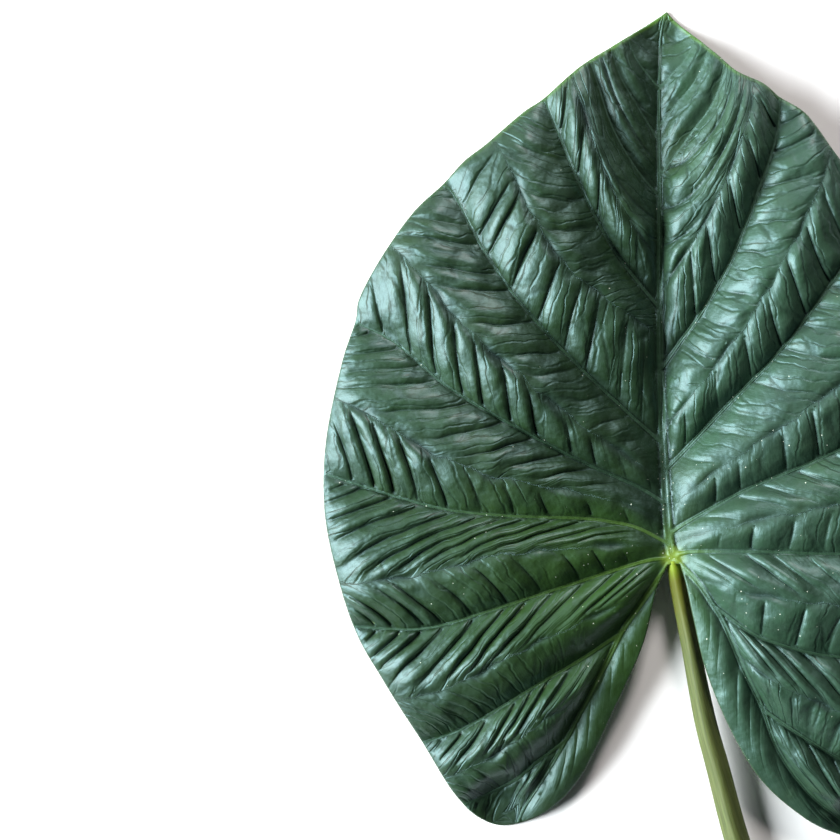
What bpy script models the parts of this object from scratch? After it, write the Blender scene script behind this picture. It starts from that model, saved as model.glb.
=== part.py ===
"""Alocasia leaf, as picked: a quilted heart-shaped blade and its petiole, lying face up.

The tables are in millimetres, in the blade's plan: X to the right and Y towards the blade's tip,
from the junction where the petiole meets the blade. Z is up from the surface that the leaf lies on.
Each band between two main veins has its own places (s, t): s runs from 0 at the midrib to 1 at the
margin, and t from 0 at the upper vein to 1 at the lower one.
"""

import math
from collections import namedtuple

import bmesh
import bpy
import numpy as np
from mathutils import Vector
from mathutils.geometry import delaunay_2d_cdt
from mathutils.kdtree import KDTree

# Driving dimensions
METRES = 0.001
BLADE_THICKNESS = 0.8
QUILT_HEIGHT = 1.5
QUILT_REACH = 2.8
ARCH_SHARE, ARCH_LIMIT = 0.15, 4.2
FOLD_HEIGHT = 4.2
FOLD_REACH = 13.0
STRIP_REACH = 2.0
CREASE_DEPTH = 0.8
CREASE_REACH = 1.0
CREASE_WOBBLE, WOBBLE_LENGTHS = 0.8, (17, 9)
CREASE_BREAKS = 23
RIDGE_HEIGHT = 1.9
VALLEY_SHARE = 0.35
TIP_ARCH, STRIP_ARCH = 0.6, 0.5
SMOOTH_NEAR_SPINE = 0.4
FULL_WIDTH = 14.0
MARGIN_REACH = 4.0
EDGE_SHARES = (0.25, 0.45, 0.2)
UNEVENNESS, UNEVEN_LENGTH = 0.28, 12
JUNCTION_THICKENING = 2.6
JUNCTION_REACH = 5.5
REST_RADIUS = 3.0
REST_BLEND = 9.0
LIFT = 0.3
SLOPE_LIMIT = 1.7

# Sizes of the mesh
CURVE_STEP = 0.5
MARGIN_STEP = 4.0
VEIN_STEP = 4.4
ROW_STEP = 6.0
ACROSS_STEP = 7.0
ACROSS_ENDS = (0.14, 0.9)
CLOSEST = 1.25
CLOSEST_ON_VEIN = 0.9
CLOSEST_ON_MARGIN = 0.2
GRID = (141, 41)
PETIOLE_SIDES = 14
PETIOLE_RINGS = 26

JUNCTION = (0.6, -0.6)
TIP = (-0.7, 164.3)

MIDRIB = [JUNCTION, (-0.9, 8), (-2.3, 34), (-3.2, 66), (-3.2, 98), (-3.4, 128), (-2.6, 155), TIP]

LEFT_MARGIN = [
    TIP, (-4.9, 161.4), (-17.4, 153.4), (-27.3, 147), (-38.1, 137.5), (-44.6, 133), (-55.6, 123.5),
    (-62, 118.6), (-68.5, 111.6), (-77.4, 103.1), (-86.9, 89.7), (-93.5, 77.5), (-94.8, 70.4),
    (-98.8, 58), (-103.3, 36.6), (-104.3, 19.2), (-102.3, 2.9), (-95.4, -21), (-86.4, -37.4),
    (-74.5, -56.4), (-65.2, -71.5), (-57.5, -79.3), (-48.8, -81.8), (-37.3, -77.6), (-27, -66.9),
    (-17.4, -47.4), (-8.4, -27), (-4.4, -10.6), (-0.9, -2.9),
]
RIGHT_MARGIN = [
    TIP, (2.6, 160.8), (14.5, 150.4), (20, 145.4), (27.4, 141.9), (32.4, 137.9), (39.4, 133.5),
    (43.3, 129), (50.7, 118.6), (59, 109.5), (67, 102.5), (76, 91), (84, 79.5), (92, 66), (94.5, 58.5),
    (100, 45), (104, 28), (105.6, 10), (104.5, -8), (101, -26), (95, -42), (86.5, -57), (79, -69.5),
    (70, -81), (60, -86.2), (50.7, -84.3), (40.4, -79.1), (27.4, -67.7), (17.5, -51.6),
    (10.2, -34), (6.5, -19), (4.3, -8.5), (2.6, -2.5),
]

LEFT_COSTA = [
    JUNCTION, (-9.9, -15.6), (-14.7, -22.8), (-21.3, -36), (-33.1, -58.5), (-43, -75), (-46, -81.5),
]
RIGHT_COSTA = [
    JUNCTION, (7.5, -7.5), (12, -14.1), (15.6, -20.1), (21.5, -33.9), (27.3, -45.6), (32.1, -58.2),
    (41.1, -70.8), (50.7, -78.9), (60, -86),
]

Ridges = namedtuple("Ridges", "spacing lean strength from_midrib", defaults=[False])

# Each main vein from the midrib or costa to the margin, then the band above it: where its crease lies, as t
# at the midrib, half way and at the margin, and the ridges on the band's upper and lower side. Spacing is
# in mm, and a ridge leans outward by a share of the band's length on its way to the crease. A band whose
# crease is 0 throughout has only long ridges beside its veins.
NO_CREASE = (0, 0, 0)
LEFT_VEINS = [
    ([(-3.1, 141), (-5.9, 144), (-10.4, 150), (-12.4, 156)], NO_CREASE, *2 * [Ridges(20, 0, 0.3)]),
    ([(-3.4, 125), (-10.9, 137), (-15.4, 145), (-17.9, 153)], NO_CREASE, *2 * [Ridges(20, 0, 0.4)]),
    ([(-3.3, 108), (-10.8, 117), (-17.4, 128.4), (-22.2, 142.8), (-24.3, 149)],
     NO_CREASE, *2 * [Ridges(7, 0, 0.7)]),
    ([(-3.1, 74.4), (-15, 88.8), (-22.2, 100.5), (-28.8, 114.3), (-33.3, 125.4), (-38.1, 137.4)],
     (0.6, 0.5, 0.4), Ridges(13, 0.5, 0.8, True), Ridges(16, 0.14, 1.1)),
    ([(-2.4, 33.6), (-10.8, 41.1), (-27.3, 56.4), (-43.5, 73.5), (-55.5, 90.3), (-64.8, 108),
      (-68.5, 111.6)], (0.2, 0.5, 0.5), Ridges(17, 0.22, 0.5), Ridges(11, 0.03, 1)),
    ([(-1.3, 15.9), (-9.9, 20.7), (-27.3, 28.5), (-45.6, 38.1), (-66.6, 50.4), (-82.8, 63.9), (-94.6, 70.2)],
     (0.65, 0.52, 0.5), Ridges(10, 0.17, 0.8), Ridges(9.6, 0.1, 0.95)),
    ([(-0.3, 3.9), (-9.9, 8.4), (-17.4, 10.2), (-27.3, 11.4), (-50.7, 12.3), (-70.5, 14.7), (-93.3, 21.2),
      (-104.2, 24.6)], (0.5, 0.6, 0.5), Ridges(10.5, 0.24, 0.95), Ridges(9.4, 0.07, 0.9)),
    ([JUNCTION, (-7.5, -1.4), (-27.3, -7.5), (-48, -14.1), (-70.5, -21), (-84, -21.8), (-95.4, -21)],
     (0.5, 0.43, 0.72), Ridges(9, 0.4, 0.95), Ridges(9.5, 0.1, 0.8)),
    ([(-14.7, -22.8), (-27.3, -31.2), (-40.6, -38.9), (-60.6, -50.9), (-75, -57)],
     (0.47, 0.53, 0.63), Ridges(8.6, 0.27, 1.05), Ridges(13, 0.1, 0.3)),
    ([(-27.9, -49.5), (-31.5, -55.5), (-39.3, -61.5), (-46.8, -67.8), (-54.6, -72), (-62.5, -75.5)],
     (0.5, 0.5, 0.55), Ridges(8, 0.24, 1), Ridges(11, 0.1, 0.3)),
]
RIGHT_VEINS = [
    ([(-3.1, 141), (3, 147.5), (6, 151.8), (7.5, 156.4)], NO_CREASE, *2 * [Ridges(20, 0, 0.5)]),
    ([(-3.4, 129), (2, 136), (7.5, 143), (11.9, 152.7)], NO_CREASE, *2 * [Ridges(20, 0, 0.6)]),
    ([(-3.3, 114), (6.6, 127.5), (12.6, 136), (15.2, 143.4), (16.3, 149)],
     NO_CREASE, *2 * [Ridges(20, 0, 0.8)]),
    ([(-3, 56), (2.6, 63.9), (9.6, 73.8), (18, 88.8), (25.5, 108), (31.5, 126), (32.7, 137.7)],
     (0.6, 0.55, 0.5), Ridges(14, 0.5, 1.1, True), Ridges(16, 0.04, 0.95)),
    ([(-2, 26), (4.5, 32.1), (17.4, 45.9), (31.5, 60.5), (46.2, 79.8), (58, 98), (63, 106)],
     (0.6, 0.52, 0.5), Ridges(12, 0.18, 0.75), Ridges(12, 0.03, 1)),
    ([(-0.9, 6.9), (5.7, 10.8), (22.5, 20.1), (42.3, 28.5), (66, 40), (82, 51), (93.5, 62)],
     (0.6, 0.55, 0.52), Ridges(11, 0.18, 0.6), Ridges(9.5, 0.04, 0.9)),
    ([(0.4, 0.2), (6.9, 1.4), (27.3, 1.5), (50.7, 0.9), (75, 2.5), (92, 7), (105.6, 12)],
     (0.5, 0.5, 0.55), Ridges(10, 0.2, 0.6), Ridges(9, 0.06, 0.85)),
    ([(12, -14.1), (22.5, -22.1), (30, -25.5), (44.7, -29.3), (66, -31), (84, -30.5), (100, -28)],
     (0.5, 0.5, 0.6), Ridges(9.5, 0.2, 0.7), Ridges(9, 0.08, 0.8)),
    ([(27.3, -45.6), (37.5, -52.8), (50.7, -60.9), (64, -66), (80, -68)],
     (0.47, 0.52, 0.65), Ridges(8.5, 0.22, 0.8), Ridges(8.5, 0.1, 0.7)),
]
LAST_BAND = ((0.5, 0.5, 0.6), Ridges(7.5, 0.22, 0.8), Ridges(9, 0.1, 0.5))
INNER_STRIP = ((1, 1, 1), *2 * [Ridges(10, 0.2, 0.3)])

# Height of the blade's underside over the surface, before the quilting, at places in the plan
HEIGHTS = [
    (TIP, 0.4), ((-2.6, 150), 1.9), ((-3, 128), 3.8), ((-3, 90), 4.8), ((-2.4, 40), 5.6), ((-1.5, 16), 7.8),
    (JUNCTION, 9.6),
    ((-24, 149), 3.6), ((-52, 127), 4.2), ((-75, 106), 4.4), ((-95, 70), 4.2), ((-104, 24), 4.6),
    ((-100, -8), 4.6), ((-86, -38), 3.4), ((-70, -64), 1.0), ((-38, 80), 10.2), ((-55, 35), 11.2),
    ((-55, -10), 11), ((-42, -44), 7.4), ((-22, 120), 7.2),
    ((-48, -79), 0), ((-30, -70), 3.4), ((-17, -46), 6.2), ((-6, -18), 8.8),
    ((16, 149), 4.6), ((44, 128), 5.6), ((70, 99), 5.4), ((93, 62), 5.2), ((105, 14), 5.2), ((102, -20), 5),
    ((90, -50), 3.6), ((77, -72), 1.0), ((36, 80), 11.2), ((55, 35), 12.4), ((57, -12), 12), ((48, -48), 8),
    ((20, 120), 8),
    ((59, -83), 0), ((38, -77), 4.6), ((22, -60), 8.8), ((10, -34), 11.4), ((5.5, -14), 12.2),
]
REST_SPOTS = [(-2, 158.2), (-50, -76.2), (58.5, -80.5)]

# The petiole's centre line, and its radius along it
PETIOLE_PATH = [
    (1.4, -3.6, 8.0), (2.7, -9, 7.9), (5.6, -25, 7.4), (10.4, -49, 6.6), (14.4, -64, 6),
    (20, -85, 5.2), (28, -109, 4.5), (39, -138, 3.95),
]
PETIOLE_RADII = [1.8, 2.1, 2.75, 3.3, 3.55, 3.8, 3.95, 4.0]

# The ridges below a main vein, then those above one: how late they bend outward, the place of the crest
# between two valleys, how sharp they are, and how far from the crease they begin to sink
RIDGE_BEND = (1.3, 1.5)
RIDGE_SKEW = (0.78, 0.72)
RIDGE_SHARPNESS = (1.0, 0.75)
RIDGE_END = (3.4, 2.2)
RIDGE_WINDING, WINDING_LENGTH = 0.5, 27
LEAN_REACH = 0.32
LEAN_AT_MIDRIB, LEAN_GROWTH = 0.3, 1.8
SPACING_AT_MIDRIB, SPACING_AT_MARGIN = 1.25, 0.8

# How strong the ridges are from place to place: shares of waves with a length and a seed
RIDGE_STRENGTH, STRENGTH_LIMITS = 0.85, (0.35, 1.25)
STRENGTH_WAVES = [(0.4, 42, 3), (0.25, 13, 4)]

# Ribs under the veins
RIB_DEPTH, RIB_REACH = 1.5, 1.9
MIDRIB_TAPER = (0.35, 1.05)
VEIN_TAPER = (0.75, 0.19)


def along(curve, s):
    """Points at shares s of a curve's length."""
    lengths = np.concatenate([[0], np.cumsum(np.linalg.norm(np.diff(curve, axis=0), axis=1))])
    s = np.asarray(s, float) * lengths[-1]
    return np.stack([np.interp(s, lengths, curve[:, k]) for k in range(curve.shape[1])], -1)


def length_of(curve):
    return np.linalg.norm(np.diff(curve, axis=0), axis=1).sum()


def smooth(points):
    """An evenly spaced Catmull-Rom curve through points."""
    p = np.array(points, float)
    p = np.vstack([2 * p[0] - p[1], p, 2 * p[-1] - p[-2]])
    u = np.linspace(0, 1, 16, endpoint=False)[:, None]
    runs = [
        b + 0.5 * ((c - a) * u + (2 * a - 5 * b + 4 * c - d) * u**2 + (3 * b - a - 3 * c + d) * u**3)
        for a, b, c, d in zip(p, p[1:], p[2:], p[3:])
    ]
    dense = np.vstack([*runs, p[-2]])
    return along(dense, np.linspace(0, 1, max(2, round(length_of(dense) / CURVE_STEP))))


def place_on(curve, point):
    """The share of the curve's length at its nearest point."""
    return np.argmin(np.linalg.norm(curve - np.array(point), axis=1)) / (len(curve) - 1)


def part_of(curve, first, last):
    count = max(2, round(abs(last - first) * len(curve)))
    return along(curve, np.linspace(first, last, count))


def distance_to(curve, points):
    """Distance of each point from the curve, and the share of its length that it is nearest to."""
    gap = np.linalg.norm(points[:, None, :] - curve[None, :, :], axis=2)
    nearest = gap.argmin(axis=1)
    return gap[np.arange(len(points)), nearest], nearest / max(1, len(curve) - 1)


def inside(points, loop):
    """Whether each point lies inside a closed loop."""
    x, y = points[:, 0:1], points[:, 1:2]
    a, b = loop, np.roll(loop, -1, axis=0)
    crosses = (a[:, 1] > y) != (b[:, 1] > y)
    rise = np.where(b[:, 1] == a[:, 1], 1e-9, b[:, 1] - a[:, 1])
    at = a[:, 0] + (y - a[:, 1]) * (b[:, 0] - a[:, 0]) / rise
    return (crosses & (x < at)).sum(axis=1) % 2 == 1


def ease(x):
    x = np.clip(x, 0, 1)
    return x * x * (3 - 2 * x)


def ripple(points, wavelength, seed):
    """Smooth unevenness between about -1 and 1, from a few crossing waves."""
    random = np.random.default_rng(seed)
    total = np.zeros(len(points))
    for turn in random.uniform(0, math.tau, 7):
        size = wavelength * random.uniform(0.7, 1.5)
        run = points @ [math.cos(turn), math.sin(turn)]
        total += np.sin(math.tau / size * run + random.uniform(0, math.tau))
    return total / 3.5


class Band:
    """The lamina between two main veins, with ridges that run from each vein to a crease between them."""

    def __init__(self, upper, lower, start, end, kind, seed):
        self.upper, self.lower, self.start, self.end = upper, lower, start, end
        self.creases, *self.kinds = kind
        self.length = max(length_of(upper), length_of(lower))
        self.turn = np.random.default_rng(seed).uniform(0, math.tau)
        self.sizes, self.valleys, self.lifts = [], [], []
        for side, kind in enumerate(self.kinds):
            random = np.random.default_rng((seed, side))
            size = self.length if self.creases[1] else self.width(0.5)
            if kind.from_midrib:
                size = length_of(start) * self.creases[0]
            count = max(1, round((1 + kind.lean) * size / kind.spacing))
            steps = random.uniform(0.65, 1.35, count)
            if self.creases[1] and not kind.from_midrib:
                steps *= np.linspace(SPACING_AT_MIDRIB, SPACING_AT_MARGIN, count)
            shares = np.concatenate([[0], np.cumsum(steps) / steps.sum()])
            self.sizes.append(size)
            self.valleys.append(-kind.lean + (1 + kind.lean) * shares)
            self.lifts.append(random.uniform(0.6, 1.2, count))

    def plan(self, s, t):
        """The place in the plan of (s, t), from the band's four sides."""
        s, t = np.asarray(s, float)[..., None], np.asarray(t, float)[..., None]
        u, w = along(self.upper, s[..., 0]), along(self.lower, s[..., 0])
        a, b = along(self.start, t[..., 0]), along(self.end, t[..., 0])
        corners = (1 - s) * ((1 - t) * self.start[0] + t * self.start[-1])
        corners = corners + s * ((1 - t) * self.end[0] + t * self.end[-1])
        return (1 - t) * u + t * w + (1 - s) * a + s * b - corners

    def crease(self, s):
        """Where the crease lies: a gently winding line."""
        s = np.asarray(s, float)
        middle = np.interp(s, (0, 0.5, 1), self.creases)
        if self.creases[1] == 1 or self.kinds[0].from_midrib:
            return middle
        run = math.tau * s * self.length
        winding = np.sin(self.turn + run / WOBBLE_LENGTHS[0]) + 0.6 * np.sin(run / WOBBLE_LENGTHS[1])
        return middle + CREASE_WOBBLE * winding * np.sin(math.pi * s) / np.maximum(self.width(s), 8)

    def width(self, s):
        return np.linalg.norm(along(self.upper, s) - along(self.lower, s), axis=-1)

    def arch(self, s, t):
        """How far the lamina arches up between the two veins."""
        height = np.minimum(ARCH_SHARE * self.width(s), ARCH_LIMIT)
        if not self.creases[1]:
            return TIP_ARCH * height * np.sin(math.pi * t)
        if self.creases[1] == 1:
            return STRIP_ARCH * height * np.sin(math.pi * t)
        crease = np.interp(s, (0, 0.5, 1), self.creases)
        across = np.where(t < crease, t / crease, (1 - t) / (1 - crease))
        return height * np.sin(math.pi / 2 * across)

    def lean(self, side, at, across):
        """How far outward the ridge line that starts at a place lies once it is this far across."""
        kind = self.kinds[side]
        if kind.from_midrib:
            return kind.lean * (1 - np.exp(-across / LEAN_REACH))
        turn = math.tau * at * self.sizes[side] / WINDING_LENGTH + self.turn
        winding = RIDGE_WINDING / self.sizes[side] * np.sin(turn) * np.sin(math.pi * across)
        growth = LEAN_AT_MIDRIB + LEAN_GROWTH * at * np.abs(at)
        return kind.lean * growth * across ** RIDGE_BEND[side] + winding

    def ridges(self, side, at):
        """Height of one side's ridges, lowest in a valley."""
        valleys, lifts = self.valleys[side], self.lifts[side]
        k = np.clip(np.searchsorted(valleys, at) - 1, 0, len(valleys) - 2)
        f = np.clip((at - valleys[k]) / (valleys[k + 1] - valleys[k]), 0, 1)
        wave = np.sin(math.pi * f ** RIDGE_SKEW[side]) ** RIDGE_SHARPNESS[side]
        return (wave - VALLEY_SHARE) * lifts[k]

    def relief(self, s, t):
        """Height of the ridges and the crease over the quilt, in mm."""
        width = self.width(s)
        if not self.creases[1]:
            fade = self.kinds[0].strength * ease(s / 0.15) * ease(width / 7)
            return self.ridges(0, t) * RIDGE_HEIGHT * fade
        crease = self.crease(s)
        shares = (t / crease, (1 - t) / np.maximum(1 - crease, 0.01))
        from_crease = np.abs(t - crease) * width
        found = []
        for side, (kind, across) in enumerate(zip(self.kinds, shares)):
            if kind.from_midrib:
                rise = self.ridges(side, across - self.lean(side, across, s))
                fade = 1 - 0.5 * (1 - ease(s / 0.08))
            else:
                at = s - self.lean(side, s, across)
                for _ in range(3):
                    at = s - self.lean(side, at, across)
                rise = self.ridges(side, at)
                fade = 1 - 0.85 * (1 - ease(s / SMOOTH_NEAR_SPINE))
            fade = fade * (1 - np.exp(-((from_crease / RIDGE_END[side]) ** 2)))
            found.append(rise * fade * kind.strength)
        rise = np.where(t >= crease, found[1], found[0])
        in_crease = np.exp(-((from_crease / CREASE_REACH) ** 2))
        in_crease *= 0.5 + 0.5 * np.sin(self.turn + math.tau * s * self.length / CREASE_BREAKS)
        return (rise * RIDGE_HEIGHT - CREASE_DEPTH * in_crease) * ease(width / FULL_WIDTH)

    def rows(self):
        """The lines (s, t) to sample: the crease, then each valley and each crest."""
        if 0 < self.creases[1] < 1:
            s = np.linspace(0, 1, round(length_of(self.lower) / VEIN_STEP))
            yield s, self.crease(s)
        for shift in (0.0, 0.5):
            for side in (0, 1) if self.creases[1] else (0,):
                valleys = self.valleys[side]
                for low, high in zip(valleys, valleys[1:]):
                    yield from self.row(side, low + (high - low) * shift ** (1 / RIDGE_SKEW[side]))

    def row(self, side, start):
        """The line of one ridge or valley."""
        if not self.creases[1] or self.kinds[side].from_midrib:
            s = np.linspace(0, 1, max(3, round(self.length / ROW_STEP)))
            across = start + (self.lean(side, start, s) if self.creases[1] else 0 * s)
            s, across = s[(across > 0) & (across < 1)], across[(across > 0) & (across < 1)]
            yield s, across * self.crease(s) if self.creases[1] else across
            return
        middle = float(np.clip(start + self.lean(side, start, 0.5), 0, 1))
        share = self.crease(middle) if side == 0 else 1 - self.crease(middle)
        reach = self.width(middle) * share
        if reach > 2 * CLOSEST:
            across = np.linspace(*ACROSS_ENDS, 2 + round(reach / ACROSS_STEP))
            s = start + self.lean(side, start, across)
            crease = self.crease(s)
            yield s, crease * across if side == 0 else 1 - (1 - crease) * across


class Half:
    """One side of the blade: its spine of midrib and costa, its margin, its main veins and its bands."""

    def __init__(self, margin, costa, veins, seed):
        self.margin = smooth(margin)
        midrib = smooth(MIDRIB)[::-1]
        costa = smooth(costa)
        leave = place_on(self.margin, costa[-1])
        costa[-1] = along(self.margin, leave)
        self.spine = np.vstack([midrib, costa[1:]])
        self.veins = []
        starts, ends = [0.0], [0.0]
        for points, *_ in veins:
            starts.append(place_on(self.spine, points[0]))
            ends.append(place_on(self.margin, points[-1]))
            first, last = along(self.spine, starts[-1]), along(self.margin, ends[-1])
            self.veins.append(smooth([first, *points[1:-1], last]))
        starts.append(1.0)
        ends.append(leave)
        tip, foot = self.margin[:1], along(self.margin, [leave])
        sides = [np.repeat(tip, 2, axis=0), *self.veins, np.repeat(foot, 2, axis=0)]
        kinds = [kind for _, *kind in veins] + [LAST_BAND]
        self.bands = [
            Band(sides[k], sides[k + 1], part_of(self.spine, starts[k], starts[k + 1]),
                 part_of(self.margin, ends[k], ends[k + 1]), kinds[k], seed + k)
            for k in range(len(sides) - 1)
        ]
        inner = part_of(self.margin, leave, 1)[::-1]
        beyond = inner[::-1] + STRIP_REACH * np.array([-np.sign(margin[5][0]), -1])
        self.strip = np.vstack([costa, beyond])
        start = np.array([costa[0], inner[0]])
        self.bands.append(Band(costa, inner, start, np.repeat(foot, 2, axis=0), INNER_STRIP, seed))


LEFT = Half(LEFT_MARGIN, LEFT_COSTA, LEFT_VEINS, 11)
RIGHT = Half(RIGHT_MARGIN, RIGHT_COSTA, RIGHT_VEINS, 47)
BANDS = LEFT.bands + RIGHT.bands
OUTLINE = np.vstack([LEFT.margin, RIGHT.margin[::-1]])


def plate_heights(points):
    """The blade's broad form: a thin plate bent through HEIGHTS."""
    places = np.array([place for place, _ in HEIGHTS], float) / 100
    heights = np.array([height for _, height in HEIGHTS], float)

    def kernel(a, b):
        r2 = ((a[:, None, :] - b[None, :, :]) ** 2).sum(axis=2)
        return 0.5 * r2 * np.log(r2 + 1e-12)

    count = len(places)
    flat = np.hstack([np.ones((count, 1)), places])
    system = np.zeros((count + 3, count + 3))
    system[:count, :count] = kernel(places, places) + 1e-4 * np.eye(count)
    system[:count, count:] = flat
    system[count:, :count] = flat.T
    weights = np.linalg.solve(system, np.concatenate([heights, np.zeros(3)]))
    points = points / 100
    return kernel(points, places) @ weights[:count] + weights[count] + points @ weights[count + 1 :]


def locate(points):
    """Each point's band, as an index of BANDS, and its s and t there."""
    grid_s, grid_t = np.meshgrid(*(np.linspace(0, 1, count) for count in GRID), indexing="ij")
    grid_s, grid_t = grid_s.ravel(), grid_t.ravel()
    tree = KDTree(len(BANDS) * len(grid_s))
    for number, band in enumerate(BANDS):
        for k, place in enumerate(band.plan(grid_s, grid_t)):
            tree.insert((place[0], place[1], 0), number * len(grid_s) + k)
    tree.balance()
    found = np.array([tree.find((x, y, 0))[1] for x, y in points])
    bands, k = found // len(grid_s), found % len(grid_s)
    s, t = grid_s[k], grid_t[k]
    small = 1e-3
    for number, band in enumerate(BANDS):
        mine = bands == number
        if not mine.any():
            continue
        a, b = s[mine], t[mine]
        for _ in range(3):
            off = points[mine] - band.plan(a, b)
            by_s = (band.plan(a + small, b) - band.plan(a - small, b)) / (2 * small)
            by_t = (band.plan(a, b + small) - band.plan(a, b - small)) / (2 * small)
            area = by_s[:, 0] * by_t[:, 1] - by_s[:, 1] * by_t[:, 0]
            area = np.where(np.abs(area) < 1, np.inf, area)
            a = np.clip(a + (off[:, 0] * by_t[:, 1] - off[:, 1] * by_t[:, 0]) / area, 0, 1)
            b = np.clip(b + (off[:, 1] * by_s[:, 0] - off[:, 0] * by_s[:, 1]) / area, 0, 1)
        s[mine], t[mine] = a, b
    return bands, s, t


def relief_at(points):
    """The bands' arch and relief at points of the plan."""
    bands, s, t = locate(points)
    arch, relief = np.zeros(len(points)), np.zeros(len(points))
    for number, band in enumerate(BANDS):
        mine = bands == number
        if mine.any():
            arch[mine] = band.arch(s[mine], t[mine])
            relief[mine] = band.relief(s[mine], t[mine])
    return arch, relief


def underside(points):
    """Height of the underside at points of the plan."""
    quilt = np.ones(len(points))
    ribs = np.zeros(len(points))
    to_spine = np.full(len(points), 1e9)
    for half in (LEFT, RIGHT):
        for vein in [half.spine, *half.veins]:
            gap, share = distance_to(vein, points)
            quilt *= 1 - np.exp(-gap / QUILT_REACH)
            if vein is half.spine:
                taper = np.interp(share, (0, 0.7), MIDRIB_TAPER)
                to_spine = np.minimum(to_spine, gap)
            else:
                taper = np.interp(share, (0, 1), VEIN_TAPER)
            ribs = np.maximum(ribs, RIB_DEPTH * taper * ease(1 - gap / RIB_REACH))
    in_strip = inside(points, LEFT.strip) | inside(points, RIGHT.strip)
    fold = np.where(in_strip, 0, FOLD_HEIGHT * (1 - np.exp(-to_spine / FOLD_REACH)))
    edge, _ = distance_to(OUTLINE, points)
    near_edge = 1 - np.exp(-edge / MARGIN_REACH)
    quilted, arched, ridged = (share + (1 - share) * near_edge for share in EDGE_SHARES)
    arch, relief = relief_at(points)
    strength = RIDGE_STRENGTH + sum(share * ripple(points, *wave) for share, *wave in STRENGTH_WAVES)
    low = plate_heights(points) + fold + QUILT_HEIGHT * quilt * quilted
    low += arch * ease(quilt * 1.2) * arched
    low += relief * np.clip(strength, *STRENGTH_LIMITS) * ridged * ease(quilt * 2.2)
    low += UNEVENNESS * ripple(points, UNEVEN_LENGTH, 5) * ease(quilt * 1.5) - ribs * near_edge
    gap = np.linalg.norm(points - np.array(JUNCTION), axis=1)
    low -= JUNCTION_THICKENING * ease(1 - gap / JUNCTION_REACH)
    low = np.maximum(low, LIFT)
    for spot in REST_SPOTS:
        gap = np.linalg.norm(points - np.array(spot), axis=1)
        low = low * ease((gap - REST_RADIUS) / REST_BLEND)
    return low


class Sampler:
    """Collects the plan's points and the lines that the mesh keeps as edges."""

    def __init__(self):
        self.points, self.edges, self.cells = [], [], {}

    def near(self, place, reach):
        x, y = int(place[0] // CLOSEST), int(place[1] // CLOSEST)
        for i in (x - 1, x, x + 1):
            for j in (y - 1, y, y + 1):
                for k in self.cells.get((i, j), ()):
                    if math.dist(place, self.points[k]) < reach:
                        return k
        return None

    def line(self, places, closed=False, reach=CLOSEST, join=True):
        """Adds a line of points. A point closer than reach to an earlier one is left out or, where join is
        set, stands for it."""
        chain = []
        for place in places:
            known = self.near(place, reach)
            if known is None:
                known = len(self.points)
                self.points.append(tuple(place))
                self.cells.setdefault((int(place[0] // CLOSEST), int(place[1] // CLOSEST)), []).append(known)
            elif not join:
                known = None
            chain.append(known)
        if closed:
            chain.append(chain[0])
        for a, b in zip(chain, chain[1:]):
            if a is not None and b is not None and a != b:
                self.edges.append((a, b))


def triangulate(plan, edges):
    """Triangles that keep the edges, less the later one of any two that cross."""
    while True:
        places = [Vector(place) for place in plan]
        _, parts, faces, origins, kept, _ = delaunay_2d_cdt(places, edges, [], 0, 1e-5)
        crossed = {k for k, origin in enumerate(origins) if not origin}
        if not crossed:
            return np.array([origin[0] for origin in origins])[np.array(faces)]
        meeting = {k: set() for k in crossed}
        for ends, names in zip(parts, kept):
            for k in crossed.intersection(ends):
                meeting[k].update(names)
        dropped = {name for names in meeting.values() for name in sorted(names)[1:]}
        edges = [edge for k, edge in enumerate(edges) if k not in dropped]


def sample_blade():
    """The plan's points and the triangles between them."""
    sampler = Sampler()
    count = round(length_of(OUTLINE) / MARGIN_STEP)
    corners = [LEFT.margin[0], LEFT.margin[-1], RIGHT.margin[-1]]
    for half in (LEFT, RIGHT):
        corners += [vein[-1] for vein in half.veins] + [half.spine[-1]]
    ring = along(OUTLINE, np.linspace(0, 1, count, endpoint=False))
    for corner in corners:
        ring[np.linalg.norm(ring - corner, axis=1).argmin()] = corner
    sampler.line(ring, closed=True, reach=CLOSEST_ON_MARGIN)
    loop = np.array(ring)
    turns = math.tau * np.arange(6)[:, None] / 6
    rest_ring = 0.97 * REST_RADIUS * np.hstack([np.cos(turns), np.sin(turns)])
    for spot in REST_SPOTS:
        sampler.line([spot])
        sampler.line(np.array(spot) + rest_ring, closed=True)
    veins = [vein for half in (LEFT, RIGHT) for vein in [half.spine, *half.veins]]
    for vein in veins:
        steps = max(3, round(length_of(vein) / VEIN_STEP))
        sampler.line(along(vein, np.linspace(0, 1, steps)), reach=CLOSEST_ON_VEIN)
    for band in BANDS:
        for s, t in band.rows():
            keep = (s > 0.01) & (s < 0.99)
            if not keep.any():
                continue
            places = band.plan(s[keep], t[keep])
            good = inside(places, loop)
            for vein in veins:
                good &= distance_to(vein, places)[0] > CLOSEST
            good &= distance_to(loop, places)[0] > CLOSEST
            run = np.flatnonzero(np.diff(np.concatenate([[0], good, [0]]).astype(int)))
            for first, last in zip(run[::2], run[1::2]):
                sampler.line(places[first:last], join=False)
    plan = np.array(sampler.points)
    faces = triangulate(plan, sampler.edges)
    return plan, faces[inside(plan[faces].mean(axis=1), loop)]


def slopes(plan, low, faces):
    """How much a vertical wall through the sheet is longer than its thickness, at each point."""
    spots = np.column_stack([plan, low])
    a, b, c = (spots[faces[:, k]] for k in range(3))
    normals = np.cross(b - a, c - a)
    summed = np.zeros((len(plan), 3))
    for k in range(3):
        np.add.at(summed, faces[:, k], normals)
    return np.linalg.norm(summed, axis=1) / np.abs(summed[:, 2])


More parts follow.
